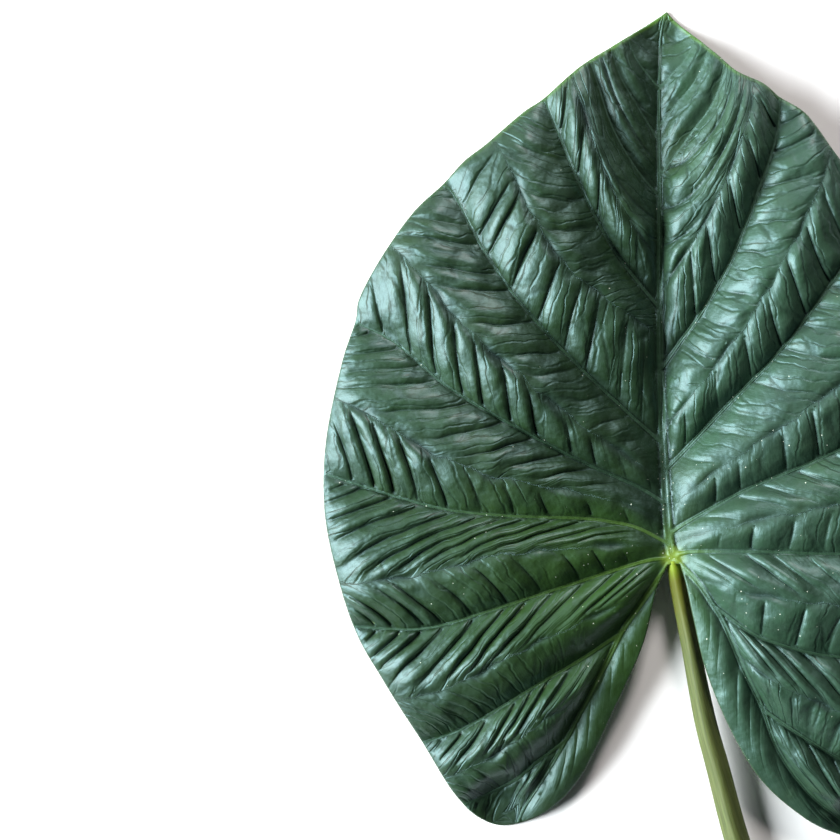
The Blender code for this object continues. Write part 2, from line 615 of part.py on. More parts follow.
def make_blade(material):
    plan, faces = sample_blade()
    low = underside(plan)
    thick = BLADE_THICKNESS * np.minimum(slopes(plan, low, faces), SLOPE_LIMIT)
    gap = np.linalg.norm(plan - np.array(JUNCTION), axis=1)
    thick += JUNCTION_THICKENING * ease(1 - gap / JUNCTION_REACH)
    count = len(plan)
    spots = np.vstack([np.column_stack([plan, low + thick]), np.column_stack([plan, low])])
    ends = np.sort(np.concatenate([faces[:, [0, 1]], faces[:, [1, 2]], faces[:, [2, 0]]]), axis=1)
    pairs, uses = np.unique(ends, axis=0, return_counts=True)
    rim = {tuple(pair) for pair in pairs[uses == 1]}
    shown = [tuple(face) for face in faces] + [tuple(face[::-1] + count) for face in faces]
    for face in faces:
        for a, b in zip(face, np.roll(face, -1)):
            if (min(a, b), max(a, b)) in rim:
                shown.append((b, a, a + count, b + count))
    return add_object("leaf_blade", spots, shown, material)


def make_petiole(material):
    """The leaf stalk: a tapering tube with one soft keel along its upper side and a plain cut end."""
    path = np.array(PETIOLE_PATH, float)
    curve = smooth(path)
    shares = np.linspace(0, 1, PETIOLE_RINGS)
    centres = along(curve, shares)
    keys = [place_on(curve, point) for point in path]
    radii = np.interp(shares, keys, PETIOLE_RADII)
    centres[:, 2] = np.maximum(centres[:, 2], radii)
    tangents = np.gradient(centres, axis=0)
    spots = []
    for centre, tangent, radius in zip(centres, tangents, radii):
        ahead = Vector(tangent).normalized()
        side = ahead.cross(Vector((0, 0, 1))).normalized()
        top = side.cross(ahead)
        for k in range(PETIOLE_SIDES):
            angle = 2 * math.pi * k / PETIOLE_SIDES
            spots.append(Vector(centre) + float(radius) * (math.sin(angle) * side + math.cos(angle) * top))
    shown = [tuple(range(PETIOLE_SIDES))[::-1]]
    shown.append(tuple(range((PETIOLE_RINGS - 1) * PETIOLE_SIDES, PETIOLE_RINGS * PETIOLE_SIDES)))
    for ring in range(PETIOLE_RINGS - 1):
        for k in range(PETIOLE_SIDES):
            a, b = ring * PETIOLE_SIDES + k, ring * PETIOLE_SIDES + (k + 1) % PETIOLE_SIDES
            shown.append((a, b, b + PETIOLE_SIDES, a + PETIOLE_SIDES))
    spots = np.array(spots)
    spots[:, 2] -= min(0.0, spots[:, 2].min())
    return add_object("petiole", spots, shown, material)


def add_object(name, spots, faces, material):
    mesh = bpy.data.meshes.new(name)
    mesh.from_pydata((np.array(spots) * METRES).tolist(), [], [[int(i) for i in face] for face in faces])
    work = bmesh.new()
    work.from_mesh(mesh)
    bmesh.ops.recalc_face_normals(work, faces=work.faces)
    work.to_mesh(mesh)
    work.free()
    mesh.shade_smooth()
    mesh.set_sharp_from_angle(angle=math.radians(50))
    mesh.materials.append(material)
    obj = bpy.data.objects.new(name, mesh)
    bpy.context.scene.collection.objects.link(obj)
    return obj


def make_material(name, colour, roughness):
    material = bpy.data.materials.new(name)
    material.use_nodes = True
    shader = material.node_tree.nodes["Principled BSDF"]
    shader.inputs["Base Color"].default_value = (*colour, 1)
    shader.inputs["Roughness"].default_value = roughness
    shader.inputs["Metallic"].default_value = 0
    return material


def main():
    for obj in list(bpy.data.objects):
        bpy.data.objects.remove(obj)
    blade = make_blade(make_material("blade", (0.06, 0.14, 0.07), 0.35))
    petiole = make_petiole(make_material("petiole", (0.2, 0.26, 0.07), 0.45))
    corners = [obj.matrix_world @ v.co for obj in (blade, petiole) for v in obj.data.vertices]
    low = [min(c[k] for c in corners) for k in range(3)]
    high = [max(c[k] for c in corners) for k in range(3)]
    shift = Vector((-(low[0] + high[0]) / 2, -(low[1] + high[1]) / 2, -low[2]))
    for obj in (blade, petiole):
        obj.location = shift
    print("box", low, high, "faces", [len(o.data.polygons) for o in (blade, petiole)])


main()
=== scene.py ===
"""Looks of the alocasia leaf: its finely quilted blade, its petiole, their materials, light and camera.

Tables are in millimetres, in the blade's plan: X to the right and Y towards the blade's tip, from the
junction where the petiole meets the blade. Z is up from the surface that the leaf lies on. Each band
between two main veins has its own places (s, t): s runs from 0 at the midrib to 1 at the margin, and
t from 0 at the upper vein to 1 at the lower one.
"""

import math
from collections import namedtuple

import bmesh
import bpy
import numpy as np
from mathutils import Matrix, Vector
from mathutils.geometry import delaunay_2d_cdt
from mathutils.kdtree import KDTree
from numpy.linalg import norm


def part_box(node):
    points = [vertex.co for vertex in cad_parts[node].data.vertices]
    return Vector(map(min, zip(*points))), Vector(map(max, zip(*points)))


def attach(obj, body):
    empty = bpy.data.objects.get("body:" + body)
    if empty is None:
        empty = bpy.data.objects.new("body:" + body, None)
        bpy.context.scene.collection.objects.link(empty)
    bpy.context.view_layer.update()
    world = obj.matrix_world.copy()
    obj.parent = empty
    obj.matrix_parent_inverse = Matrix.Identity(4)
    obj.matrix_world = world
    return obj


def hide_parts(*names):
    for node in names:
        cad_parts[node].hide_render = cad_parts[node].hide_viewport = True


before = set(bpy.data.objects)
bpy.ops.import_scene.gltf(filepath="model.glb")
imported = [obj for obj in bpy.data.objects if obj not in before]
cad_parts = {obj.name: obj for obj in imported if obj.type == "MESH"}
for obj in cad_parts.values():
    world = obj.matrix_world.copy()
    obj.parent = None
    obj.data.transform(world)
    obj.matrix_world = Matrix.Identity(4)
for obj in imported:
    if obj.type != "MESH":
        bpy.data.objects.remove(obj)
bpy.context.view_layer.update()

METRES = 0.001
BLADE_THICKNESS = 0.8
QUILT_HEIGHT = 1.5
QUILT_REACH = 2.8
ARCH_SHARE, ARCH_LIMIT = 0.15, 4.2
TIP_ARCH, STRIP_ARCH = 0.6, 0.5
FOLD_HEIGHT = 4.2
FOLD_REACH = 13.0
STRIP_REACH = 2.0
CREASE_DEPTH = 0.8
CREASE_REACH = 1.2
CREASE_WOBBLE = 0.4
CREASE_WAVES = (17, 9)
CREASE_BREAKS = 11 / 3
RIDGE_HEIGHT = 1.9
FULL_CREST = 0.7
VALLEY_SHARE = 0.35
FULL_WIDTH = 14.0
MARGIN_REACH = 4.0
EDGE_SHARES = (0.25, 0.45, 0.2)
JUNCTION_THICKENING = 2.6
JUNCTION_REACH = 5.5
YELLOW_SIDE = (-0.8, -0.6)
REST_RADIUS = 3.0
REST_BLEND = 9.0
LIFT = 0.3

# The fine mesh
CURVE_STEP = 0.5
MARGIN_STEP = 0.8
ROW_STEP = 1.1
ROW_FLANKS = (0.0, 0.4, 1.0)
FLANKS = (0.5, 1.0, 1.5, 2.3)
CREASE_FLANKS = (0.0, 0.35, 0.8, 1.4)
MARGIN_FLANKS = (0.6, 1.3)
ROW_CLOSEST = 0.33
LINE_CLOSEST = 0.11
GRID = (141, 41)
UNDER_STEP = 2.4
UNDER_FLANKS = (0.0,)
RIM_BULGE = 0.18
RIM_INSET = 0.06

# The ribs and furrows that only the fine mesh shows
MIDRIB_HALF, COSTA_HALF, VEIN_HALF, MINOR_HALF = (1.15, 0.2), (0.7, 0.28), (0.43, 0.18), (0.18, 0.12)
RIB_RISE, GROOVE_DEPTH = 0.45, 0.5
FURROW_DEPTH, FURROW_REACH, SPLIT_DEPTH = 0.16, 0.35, 0.35

# How uneven the surface and the ridges' strength are: each wave's height, length and seed
UNEVENNESS = [(0.28, 12, 5), (0.05, 4.5, 8)]
STRENGTH_WAVES = [(0.4, 42, 3), (0.25, 13, 4)]
RIDGE_STRENGTH, STRENGTH_LIMITS = 0.85, (0.35, 1.25)

# How the stalk runs up into the junction
STALK_START = [(0.5, -1.2, 9.3), (1.1, -3.6, 8.8), (2.2, -9, 8)]
STALK_RADII = [1.8, 2.2, 2.4]

PETIOLE_SIDES = 72
PETIOLE_RINGS = 220
KEEL_TURN, KEEL_FLAT = 0.1, 0.12
STALK_RIBS, STALK_RIB_DEPTH = 9, 0.006
CUT_RINGS = ((0.96, 0.0), (0.9, 0.12), (0.45, 0.3))

# Light, floor and camera, in metres
LIGHTS = [
    ("left", (-2.6, 0.07, 1.25), (2.0, 1.7), 335, (0.95, 0.99, 1.0)),
    ("beyond the tip", (0.25, 1.5, 0.95), (0.4, 0.35), 26, (1.0, 0.92, 0.89)),
]
WORLD_COLOUR, WORLD_STRENGTH = (0.85, 0.95, 1.0), 0.05
FLOOR_SIZE = 6
VIEW_CENTRE, VIEW_WIDTH, CAMERA_HEIGHT = (-75.3, 40.8), 0.252, 1.2

JUNCTION = (0.6, -0.6)
TIP = (-0.7, 164.3)

MIDRIB = [JUNCTION, (-0.9, 8), (-2.3, 34), (-3.2, 66), (-3.2, 98), (-3.4, 128), (-2.6, 155), TIP]

LEFT_MARGIN = [
    TIP, (-4.9, 161.4), (-17.4, 153.4), (-27.3, 147), (-38.1, 137.5), (-44.6, 133), (-55.6, 123.5),
    (-62, 118.6), (-68.5, 111.6), (-77.4, 103.1), (-86.9, 89.7), (-93.5, 77.5), (-94.8, 70.4),
    (-98.8, 58), (-103.3, 36.6), (-104.3, 19.2), (-102.3, 2.9), (-95.4, -21), (-86.4, -37.4),
    (-74.5, -56.4), (-65.2, -71.5), (-57.5, -79.3), (-48.8, -81.8), (-37.3, -77.6), (-27, -66.9),
    (-17.4, -47.4), (-8.4, -27), (-4.4, -10.6), (-0.9, -2.9),
]
RIGHT_MARGIN = [
    TIP, (2.6, 160.8), (14.5, 150.4), (20, 145.4), (27.4, 141.9), (32.4, 137.9), (39.4, 133.5),
    (43.3, 129), (50.7, 118.6), (59, 109.5), (67, 102.5), (76, 91), (84, 79.5), (92, 66), (94.5, 58.5),
    (100, 45), (104, 28), (105.6, 10), (104.5, -8), (101, -26), (95, -42), (86.5, -57), (79, -69.5),
    (70, -81), (60, -86.2), (50.7, -84.3), (40.4, -79.1), (27.4, -67.7), (17.5, -51.6),
    (10.2, -34), (6.5, -19), (4.3, -8.5), (2.6, -2.5),
]

LEFT_COSTA = [
    JUNCTION, (-9.9, -15.6), (-14.7, -22.8), (-21.3, -36), (-33.1, -58.5), (-43, -75), (-46, -81.5),
]
RIGHT_COSTA = [
    JUNCTION, (7.5, -7.5), (12, -14.1), (15.6, -20.1), (21.5, -33.9), (27.3, -45.6), (32.1, -58.2),
    (41.1, -70.8), (50.7, -78.9), (60, -86),
]

Ridges = namedtuple("Ridges", "spacing lean strength from_midrib", defaults=[False])

# Each main vein from the midrib or costa to the margin, then the band above it: where its crease lies, as t
# at the midrib, half way and at the margin, and the ridges on the band's upper and lower side. Spacing is
# in mm, and a ridge leans outward by a share of the band's length on its way to the crease. A band whose
# crease is 0 throughout has only long ridges beside its veins.
NO_CREASE = (0, 0, 0)
LEFT_VEINS = [
    ([(-3.1, 141), (-5.9, 144), (-10.4, 150), (-12.4, 156)], NO_CREASE, *2 * [Ridges(20, 0, 0.3)]),
    ([(-3.4, 125), (-10.9, 137), (-15.4, 145), (-17.9, 153)], NO_CREASE, *2 * [Ridges(20, 0, 0.4)]),
    ([(-3.3, 108), (-10.8, 117), (-17.4, 128.4), (-22.2, 142.8), (-24.3, 149)],
     NO_CREASE, *2 * [Ridges(7, 0, 0.7)]),
    ([(-3.1, 74.4), (-15, 88.8), (-22.2, 100.5), (-28.8, 114.3), (-33.3, 125.4), (-38.1, 137.4)],
     (0.6, 0.5, 0.4), Ridges(13, 0.5, 0.8, True), Ridges(16, 0.14, 1.1)),
    ([(-2.4, 33.6), (-10.8, 41.1), (-27.3, 56.4), (-43.5, 73.5), (-55.5, 90.3), (-64.8, 108),
      (-68.5, 111.6)], (0.2, 0.5, 0.5), Ridges(17, 0.22, 0.5), Ridges(11, 0.03, 1)),
    ([(-1.3, 15.9), (-9.9, 20.7), (-27.3, 28.5), (-45.6, 38.1), (-66.6, 50.4), (-82.8, 63.9), (-94.6, 70.2)],
     (0.65, 0.52, 0.5), Ridges(10, 0.17, 0.8), Ridges(9.6, 0.1, 0.95)),
    ([(-0.3, 3.9), (-9.9, 8.4), (-17.4, 10.2), (-27.3, 11.4), (-50.7, 12.3), (-70.5, 14.7), (-93.3, 21.2),
      (-104.2, 24.6)], (0.5, 0.6, 0.5), Ridges(10.5, 0.24, 0.95), Ridges(9.4, 0.07, 0.9)),
    ([JUNCTION, (-7.5, -1.4), (-27.3, -7.5), (-48, -14.1), (-70.5, -21), (-84, -21.8), (-95.4, -21)],
     (0.5, 0.43, 0.72), Ridges(9, 0.4, 0.95), Ridges(9.5, 0.1, 0.8)),
    ([(-14.7, -22.8), (-27.3, -31.2), (-40.6, -38.9), (-60.6, -50.9), (-75, -57)],
     (0.47, 0.53, 0.63), Ridges(8.6, 0.27, 1.05), Ridges(13, 0.1, 0.3)),
    ([(-27.9, -49.5), (-31.5, -55.5), (-39.3, -61.5), (-46.8, -67.8), (-54.6, -72), (-62.5, -75.5)],
     (0.5, 0.5, 0.55), Ridges(8, 0.24, 1), Ridges(11, 0.1, 0.3)),
]
RIGHT_VEINS = [
    ([(-3.1, 141), (3, 147.5), (6, 151.8), (7.5, 156.4)], NO_CREASE, *2 * [Ridges(20, 0, 0.5)]),
    ([(-3.4, 129), (2, 136), (7.5, 143), (11.9, 152.7)], NO_CREASE, *2 * [Ridges(20, 0, 0.6)]),
    ([(-3.3, 114), (6.6, 127.5), (12.6, 136), (15.2, 143.4), (16.3, 149)],
     NO_CREASE, *2 * [Ridges(20, 0, 0.8)]),
    ([(-3, 56), (2.6, 63.9), (9.6, 73.8), (18, 88.8), (25.5, 108), (31.5, 126), (32.7, 137.7)],
     (0.6, 0.55, 0.5), Ridges(14, 0.5, 1.1, True), Ridges(16, 0.04, 0.95)),
    ([(-2, 26), (4.5, 32.1), (17.4, 45.9), (31.5, 60.5), (46.2, 79.8), (58, 98), (63, 106)],
     (0.6, 0.52, 0.5), Ridges(12, 0.18, 0.75), Ridges(12, 0.03, 1)),
    ([(-0.9, 6.9), (5.7, 10.8), (22.5, 20.1), (42.3, 28.5), (66, 40), (82, 51), (93.5, 62)],
     (0.6, 0.55, 0.52), Ridges(11, 0.18, 0.6), Ridges(9.5, 0.04, 0.9)),
    ([(0.4, 0.2), (6.9, 1.4), (27.3, 1.5), (50.7, 0.9), (75, 2.5), (92, 7), (105.6, 12)],
     (0.5, 0.5, 0.55), Ridges(10, 0.2, 0.6), Ridges(9, 0.06, 0.85)),
    ([(12, -14.1), (22.5, -22.1), (30, -25.5), (44.7, -29.3), (66, -31), (84, -30.5), (100, -28)],
     (0.5, 0.5, 0.6), Ridges(9.5, 0.2, 0.7), Ridges(9, 0.08, 0.8)),
    ([(27.3, -45.6), (37.5, -52.8), (50.7, -60.9), (64, -66), (80, -68)],
     (0.47, 0.52, 0.65), Ridges(8.5, 0.22, 0.8), Ridges(8.5, 0.1, 0.7)),
]
LAST_BAND = ((0.5, 0.5, 0.6), Ridges(7.5, 0.22, 0.8), Ridges(9, 0.1, 0.5))
INNER_STRIP = ((1, 1, 1), *2 * [Ridges(10, 0.2, 0.3)])
MINOR_VEINS = 3

# Height of the blade's underside over the surface, before the quilting, at places in the plan
HEIGHTS = [
    (TIP, 0.4), ((-2.6, 150), 1.9), ((-3, 128), 3.8), ((-3, 90), 4.8), ((-2.4, 40), 5.6), ((-1.5, 16), 7.8),
    (JUNCTION, 9.6),
    ((-24, 149), 3.6), ((-52, 127), 4.2), ((-75, 106), 4.4), ((-95, 70), 4.2), ((-104, 24), 4.6),
    ((-100, -8), 4.6), ((-86, -38), 3.4), ((-70, -64), 1.0), ((-38, 80), 10.1), ((-55, 35), 10.9),
    ((-55, -10), 10.7), ((-42, -44), 7.4), ((-22, 120), 7.2),
    ((-48, -79), 0), ((-30, -70), 3.4), ((-17, -46), 6.2), ((-6, -18), 8.8),
    ((16, 149), 4.6), ((44, 128), 5.6), ((70, 99), 5.4), ((93, 62), 5.2), ((105, 14), 5.2), ((102, -20), 5),
    ((90, -50), 3.6), ((77, -72), 1.0), ((36, 80), 10.8), ((55, 35), 11.6), ((57, -12), 11.2),
    ((48, -48), 7.9), ((20, 120), 8),
    ((59, -83), 0), ((38, -77), 4.6), ((22, -60), 8.8), ((10, -34), 11.4), ((5.5, -14), 12.2),
]
REST_SPOTS = [(-2, 158.2), (-50, -76.2), (58.5, -80.5)]

# The petiole's centre line, and its radius along it
PETIOLE_PATH = [
    (1.4, -3.6, 8.0), (2.7, -9, 7.9), (5.6, -25, 7.4), (10.4, -49, 6.6), (14.4, -64, 6),
    (20, -85, 5.2), (28, -109, 4.5), (39, -138, 3.95),
]
PETIOLE_RADII = [1.8, 2.1, 2.75, 3.3, 3.55, 3.8, 3.95, 4.0]

# The ridges below a main vein, then those above one: how late they bend outward, the place of the crest
# between two valleys, how sharp they are, and how far from the crease they begin to sink
RIDGE_BEND = (1.3, 1.5)
RIDGE_SKEW = (0.78, 0.72)
RIDGE_SHARPNESS = (1.0, 0.75)
RIDGE_END = (3.1, 2.2)
END_ROUNDING = 0.6
RIDGE_WINDING, WINDING_LENGTH = 0.5, 27
LEAN_REACH = 0.32
LEAN_AT_MIDRIB, LEAN_GROWTH = (0.75, 0.3), (1.2, 1.8)
SPACING_AT_MIDRIB, SPACING_AT_MARGIN = 1.25, 0.8

# Ribs under the veins
RIB_DEPTH, RIB_REACH = 1.5, 1.9
MIDRIB_TAPER = (0.35, 1.05)
VEIN_TAPER = (0.75, 0.19)


def along(curve, s):
    """Points at shares s of a curve's length."""
    lengths = np.concatenate([[0], np.cumsum(norm(np.diff(curve, axis=0), axis=1))])
    s = np.asarray(s, float) * lengths[-1]
    return np.stack([np.interp(s, lengths, curve[:, k]) for k in range(curve.shape[1])], -1)


def length_of(curve):
    return norm(np.diff(curve, axis=0), axis=1).sum()


def smooth(points):
    """An evenly spaced Catmull-Rom curve through points."""
    p = np.array(points, float)
    p = np.vstack([2 * p[0] - p[1], p, 2 * p[-1] - p[-2]])
    u = np.linspace(0, 1, 16, endpoint=False)[:, None]
    runs = [
        b + 0.5 * ((c - a) * u + (2 * a - 5 * b + 4 * c - d) * u**2 + (3 * b - a - 3 * c + d) * u**3)
        for a, b, c, d in zip(p, p[1:], p[2:], p[3:])
    ]
    dense = np.vstack([*runs, p[-2]])
    return along(dense, np.linspace(0, 1, max(2, round(length_of(dense) / CURVE_STEP))))


def spaced(curve, step):
    return along(curve, np.linspace(0, 1, max(3, round(length_of(curve) / step))))


def place_on(curve, point):
    """The share of the curve's length at its nearest point."""
    return np.argmin(norm(curve - np.array(point), axis=1)) / (len(curve) - 1)


def part_of(curve, first, last):
    count = max(2, round(abs(last - first) * len(curve)))
    return along(curve, np.linspace(first, last, count))


def offset(curve, distance):
    """The curve moved sideways."""
    ahead = np.gradient(curve, axis=0)
    ahead /= norm(ahead, axis=1, keepdims=True)
    return curve + np.reshape(distance, (-1, 1)) * np.column_stack([ahead[:, 1], -ahead[:, 0]])


def distance_to(curve, points):
    """Distance of each point from the curve, and the share of its length that it is nearest to."""
    nearest = np.empty(len(points), int)
    for first in range(0, len(points), 5000):
        some = points[first : first + 5000]
        gap = (some[:, :1] - curve[:, 0]) ** 2 + (some[:, 1:] - curve[:, 1]) ** 2
        nearest[first : first + 5000] = gap.argmin(axis=1)
    best = np.full(len(points), np.inf)
    share = np.zeros(len(points))
    for step in (-1, 0):
        k = np.clip(nearest + step, 0, len(curve) - 2)
        a, b = curve[k], curve[k + 1]
        run = ((points - a) * (b - a)).sum(axis=1) / ((b - a) ** 2).sum(axis=1)
        run = np.clip(run, 0, 1)
        gap = norm(points - a - run[:, None] * (b - a), axis=1)
        share = np.where(gap < best, (k + run) / (len(curve) - 1), share)
        best = np.minimum(best, gap)
    return best, share


def inside(points, loop):
    """Whether each point lies inside a closed loop."""
    a, b = loop, np.roll(loop, -1, axis=0)
    rise = np.where(b[:, 1] == a[:, 1], 1e-9, b[:, 1] - a[:, 1])
    found = np.empty(len(points), bool)
    for first in range(0, len(points), 5000):
        x, y = points[first : first + 5000, 0:1], points[first : first + 5000, 1:2]
        crosses = (a[:, 1] > y) != (b[:, 1] > y)
        at = a[:, 0] + (y - a[:, 1]) * (b[:, 0] - a[:, 0]) / rise
        found[first : first + 5000] = (crosses & (x < at)).sum(axis=1) % 2 == 1
    return found


def ease(x):
    x = np.clip(x, 0, 1)
    return x * x * (3 - 2 * x)


def ripple(points, wavelength, seed):
    """Smooth unevenness between about -1 and 1, from a few crossing waves."""
    random = np.random.default_rng(seed)
    total = np.zeros(len(points))
    for turn in random.uniform(0, math.tau, 7):
        size = wavelength * random.uniform(0.7, 1.5)
        run = points @ [math.cos(turn), math.sin(turn)]
        total += np.sin(math.tau / size * run + random.uniform(0, math.tau))
    return total / 3.5


def ripples(points, waves):
    return sum(height * ripple(points, length, seed) for height, length, seed in waves)


class Band:
    """The lamina between two main veins, with ridges that run from each vein to a crease between them."""

    def __init__(self, upper, lower, start, end, kind, smooth_part, seed):
        self.upper, self.lower, self.start, self.end = upper, lower, start, end
        self.creases, *self.kinds = kind
        self.smooth_part = smooth_part
        self.length = max(length_of(upper), length_of(lower))
        self.turn = np.random.default_rng(seed).uniform(0, math.tau)
        self.sizes, self.valleys, self.lifts, self.splits = [], [], [], []
        for side, kind in enumerate(self.kinds):
            random = np.random.default_rng((seed, side))
            size = self.length if self.creases[1] else self.width(0.5)
            if kind.from_midrib:
                size = length_of(start) * self.creases[0]
            count = max(1, round((1 + kind.lean) * size / kind.spacing))
            steps = random.uniform(0.65, 1.35, count)
            if self.creases[1] and not kind.from_midrib:
                steps *= np.linspace(SPACING_AT_MIDRIB, SPACING_AT_MARGIN, count)
            shares = np.concatenate([[0], np.cumsum(steps) / steps.sum()])
            self.sizes.append(size)
            self.valleys.append(-kind.lean + (1 + kind.lean) * shares)
            self.lifts.append(random.uniform(0.6, 1.2, count))
            self.splits.append(random.uniform(-0.8, 0.6, count).clip(0, 1))

    def plan(self, s, t):
        """The place in the plan of (s, t), from the band's four sides."""
        s, t = np.asarray(s, float)[..., None], np.asarray(t, float)[..., None]
        u, w = along(self.upper, s[..., 0]), along(self.lower, s[..., 0])
        a, b = along(self.start, t[..., 0]), along(self.end, t[..., 0])
        corners = (1 - s) * ((1 - t) * self.start[0] + t * self.start[-1])
        corners = corners + s * ((1 - t) * self.end[0] + t * self.end[-1])
        return (1 - t) * u + t * w + (1 - s) * a + s * b - corners

    def crease(self, s):
        """Where the crease lies: a gently winding line."""
        s = np.asarray(s, float)
        middle = np.interp(s, (0, 0.5, 1), self.creases)
        if self.creases[1] == 1 or self.kinds[0].from_midrib:
            return middle
        run = math.tau * s * self.length
        winding = np.sin(self.turn + run / CREASE_WAVES[0]) + 0.6 * np.sin(run / CREASE_WAVES[1])
        return middle + CREASE_WOBBLE * winding * np.sin(math.pi * s) / np.maximum(self.width(s), 8)

    def width(self, s):
        return norm(along(self.upper, s) - along(self.lower, s), axis=-1)

    def arch(self, s, t):
        """How far the lamina arches up between the two veins."""
        height = np.minimum(ARCH_SHARE * self.width(s), ARCH_LIMIT)
        if not self.creases[1]:
            return TIP_ARCH * height * np.sin(math.pi * t)
        if self.creases[1] == 1:
            return STRIP_ARCH * height * np.sin(math.pi * t)
        crease = np.interp(s, (0, 0.5, 1), self.creases)
        across = np.where(t < crease, t / crease, (1 - t) / (1 - crease))
        return height * np.sin(math.pi / 2 * across)

    def lean(self, side, at, across):
        """How far outward the ridge line that starts at a place lies once it is this far across."""
        kind = self.kinds[side]
        if kind.from_midrib:
            return kind.lean * (1 - np.exp(-across / LEAN_REACH))
        turn = math.tau * at * self.sizes[side] / WINDING_LENGTH + self.turn
        winding = RIDGE_WINDING / self.sizes[side] * np.sin(turn) * np.sin(math.pi * across)
        growth = LEAN_AT_MIDRIB[side] + LEAN_GROWTH[side] * at * np.abs(at)
        return kind.lean * growth * across ** RIDGE_BEND[side] + winding

    def ridges(self, side, at, across):
        """One side's ridges: their height, 0 to 1 for how deep in a furrow and for how near a crest."""
        valleys, lifts, splits = self.valleys[side], self.lifts[side], self.splits[side]
        k = np.clip(np.searchsorted(valleys, at) - 1, 0, len(valleys) - 2)
        spacing = valleys[k + 1] - valleys[k]
        f = np.clip((at - valleys[k]) / spacing, 0, 1)
        wave = np.sin(math.pi * f ** RIDGE_SKEW[side]) ** RIDGE_SHARPNESS[side]
        split = splits[k] * np.exp(-(((f - 0.52) / 0.08) ** 2)) * ease((across - 0.12) / 0.3)
        cut = np.exp(-((np.minimum(f, 1 - f) * spacing * self.sizes[side] / FURROW_REACH) ** 2))
        rise = (wave - VALLEY_SHARE) * lifts[k] - SPLIT_DEPTH * split - FURROW_DEPTH * cut
        return rise, np.maximum(cut * lifts[k], 0.5 * split), wave

    def relief(self, s, t):
        """At each place: the ridges' height over the quilt, how deep it lies in a furrow from 0 to 1, and
        its place across and along the ridges in mm."""
        width = self.width(s)
        if not self.creases[1]:
            rise, furrow, _ = self.ridges(0, t, s)
            fade = self.kinds[0].strength * ease(s / 0.15) * ease(width / 7)
            return rise * RIDGE_HEIGHT * fade, furrow * fade, t * width, s * self.length
        crease = self.crease(s)
        below = t >= crease
        shares = (t / crease, (1 - t) / np.maximum(1 - crease, 0.01))
        from_crease = np.abs(t - crease) * width
        found = []
        for side, (kind, across) in enumerate(zip(self.kinds, shares)):
            if kind.from_midrib:
                at = across - self.lean(side, across, s)
                rise, furrow, wave = self.ridges(side, at, s)
                fade = 1 - 0.5 * (1 - ease(s / 0.08))
                run = s * self.length
            else:
                at = s - self.lean(side, s, across)
                for _ in range(3):
                    at = s - self.lean(side, at, across)
                rise, furrow, wave = self.ridges(side, at, across)
                fade = 1 - 0.85 * (1 - ease(s / self.smooth_part))
                run = across * width * np.where(below, 1 - crease, crease)
            from_end = np.maximum(from_crease - END_ROUNDING * (1 - wave), 0)
            fade = fade * (1 - np.exp(-((from_end / RIDGE_END[side]) ** 2)))
            furrow = furrow * fade * min(1, kind.strength)
            found.append((rise * fade * kind.strength, furrow, at * self.sizes[side], run))
        rise, furrow, phase, run = (np.where(below, b, a) for a, b in zip(*found))
        in_crease = np.exp(-((from_crease / CREASE_REACH) ** 2))
        in_crease *= 0.5 + 0.5 * np.sin(self.turn + s * self.length / CREASE_BREAKS)
        rise = (rise * RIDGE_HEIGHT - CREASE_DEPTH * in_crease) * ease(width / FULL_WIDTH)
        furrow = np.maximum(furrow, 0.8 * in_crease) * ease(width / FULL_WIDTH)
        return rise, furrow, phase, run

    def rows(self, flanks, step):
        """Lines (s, t) along the ridges: in the valleys and at the given distances beside them, then evenly
        spaced between."""
        for order, side in [(k, side) for k in range(len(flanks) + 1) for side in (0, 1)]:
            valleys, size = self.valleys[side], self.sizes[side]
            for low, high in zip(valleys, valleys[1:]):
                spacing = (high - low) * size
                if order < len(flanks):
                    offsets = sorted({flanks[order], spacing - flanks[order]} - {spacing})
                else:
                    inner = spacing - 2 * flanks[-1]
                    offsets = flanks[-1] + inner * np.linspace(0, 1, max(1, round(inner / step)) + 1)[1:-1]
                for start in low + np.asarray(offsets) / size:
                    yield from self.row(side, start, step)

    def row(self, side, start, step):
        """The line of one ridge, or of a place beside it."""
        if not self.creases[1] or self.kinds[side].from_midrib:
            s = np.linspace(0, 1, max(3, round(self.length / step)))
            across = start + (self.lean(side, start, s) if self.creases[1] else 0 * s)
            s, across = s[(across > 0) & (across < 1)], across[(across > 0) & (across < 1)]
            yield s, across * self.crease(s) if self.creases[1] else across
            return
        middle = float(np.clip(start + self.lean(side, start, 0.5), 0, 1))
        share = self.crease(middle) if side == 0 else 1 - self.crease(middle)
        reach = self.width(middle) * share
        if reach > 1.5:
            across = np.linspace(0, 1, max(3, round(1.15 * reach / step) + 1))
            across = 0.5 * (across[1:] + across[:-1])
            s = start + self.lean(side, start, across)
            crease = self.crease(s)
            yield s, crease * across if side == 0 else 1 - (1 - crease) * across


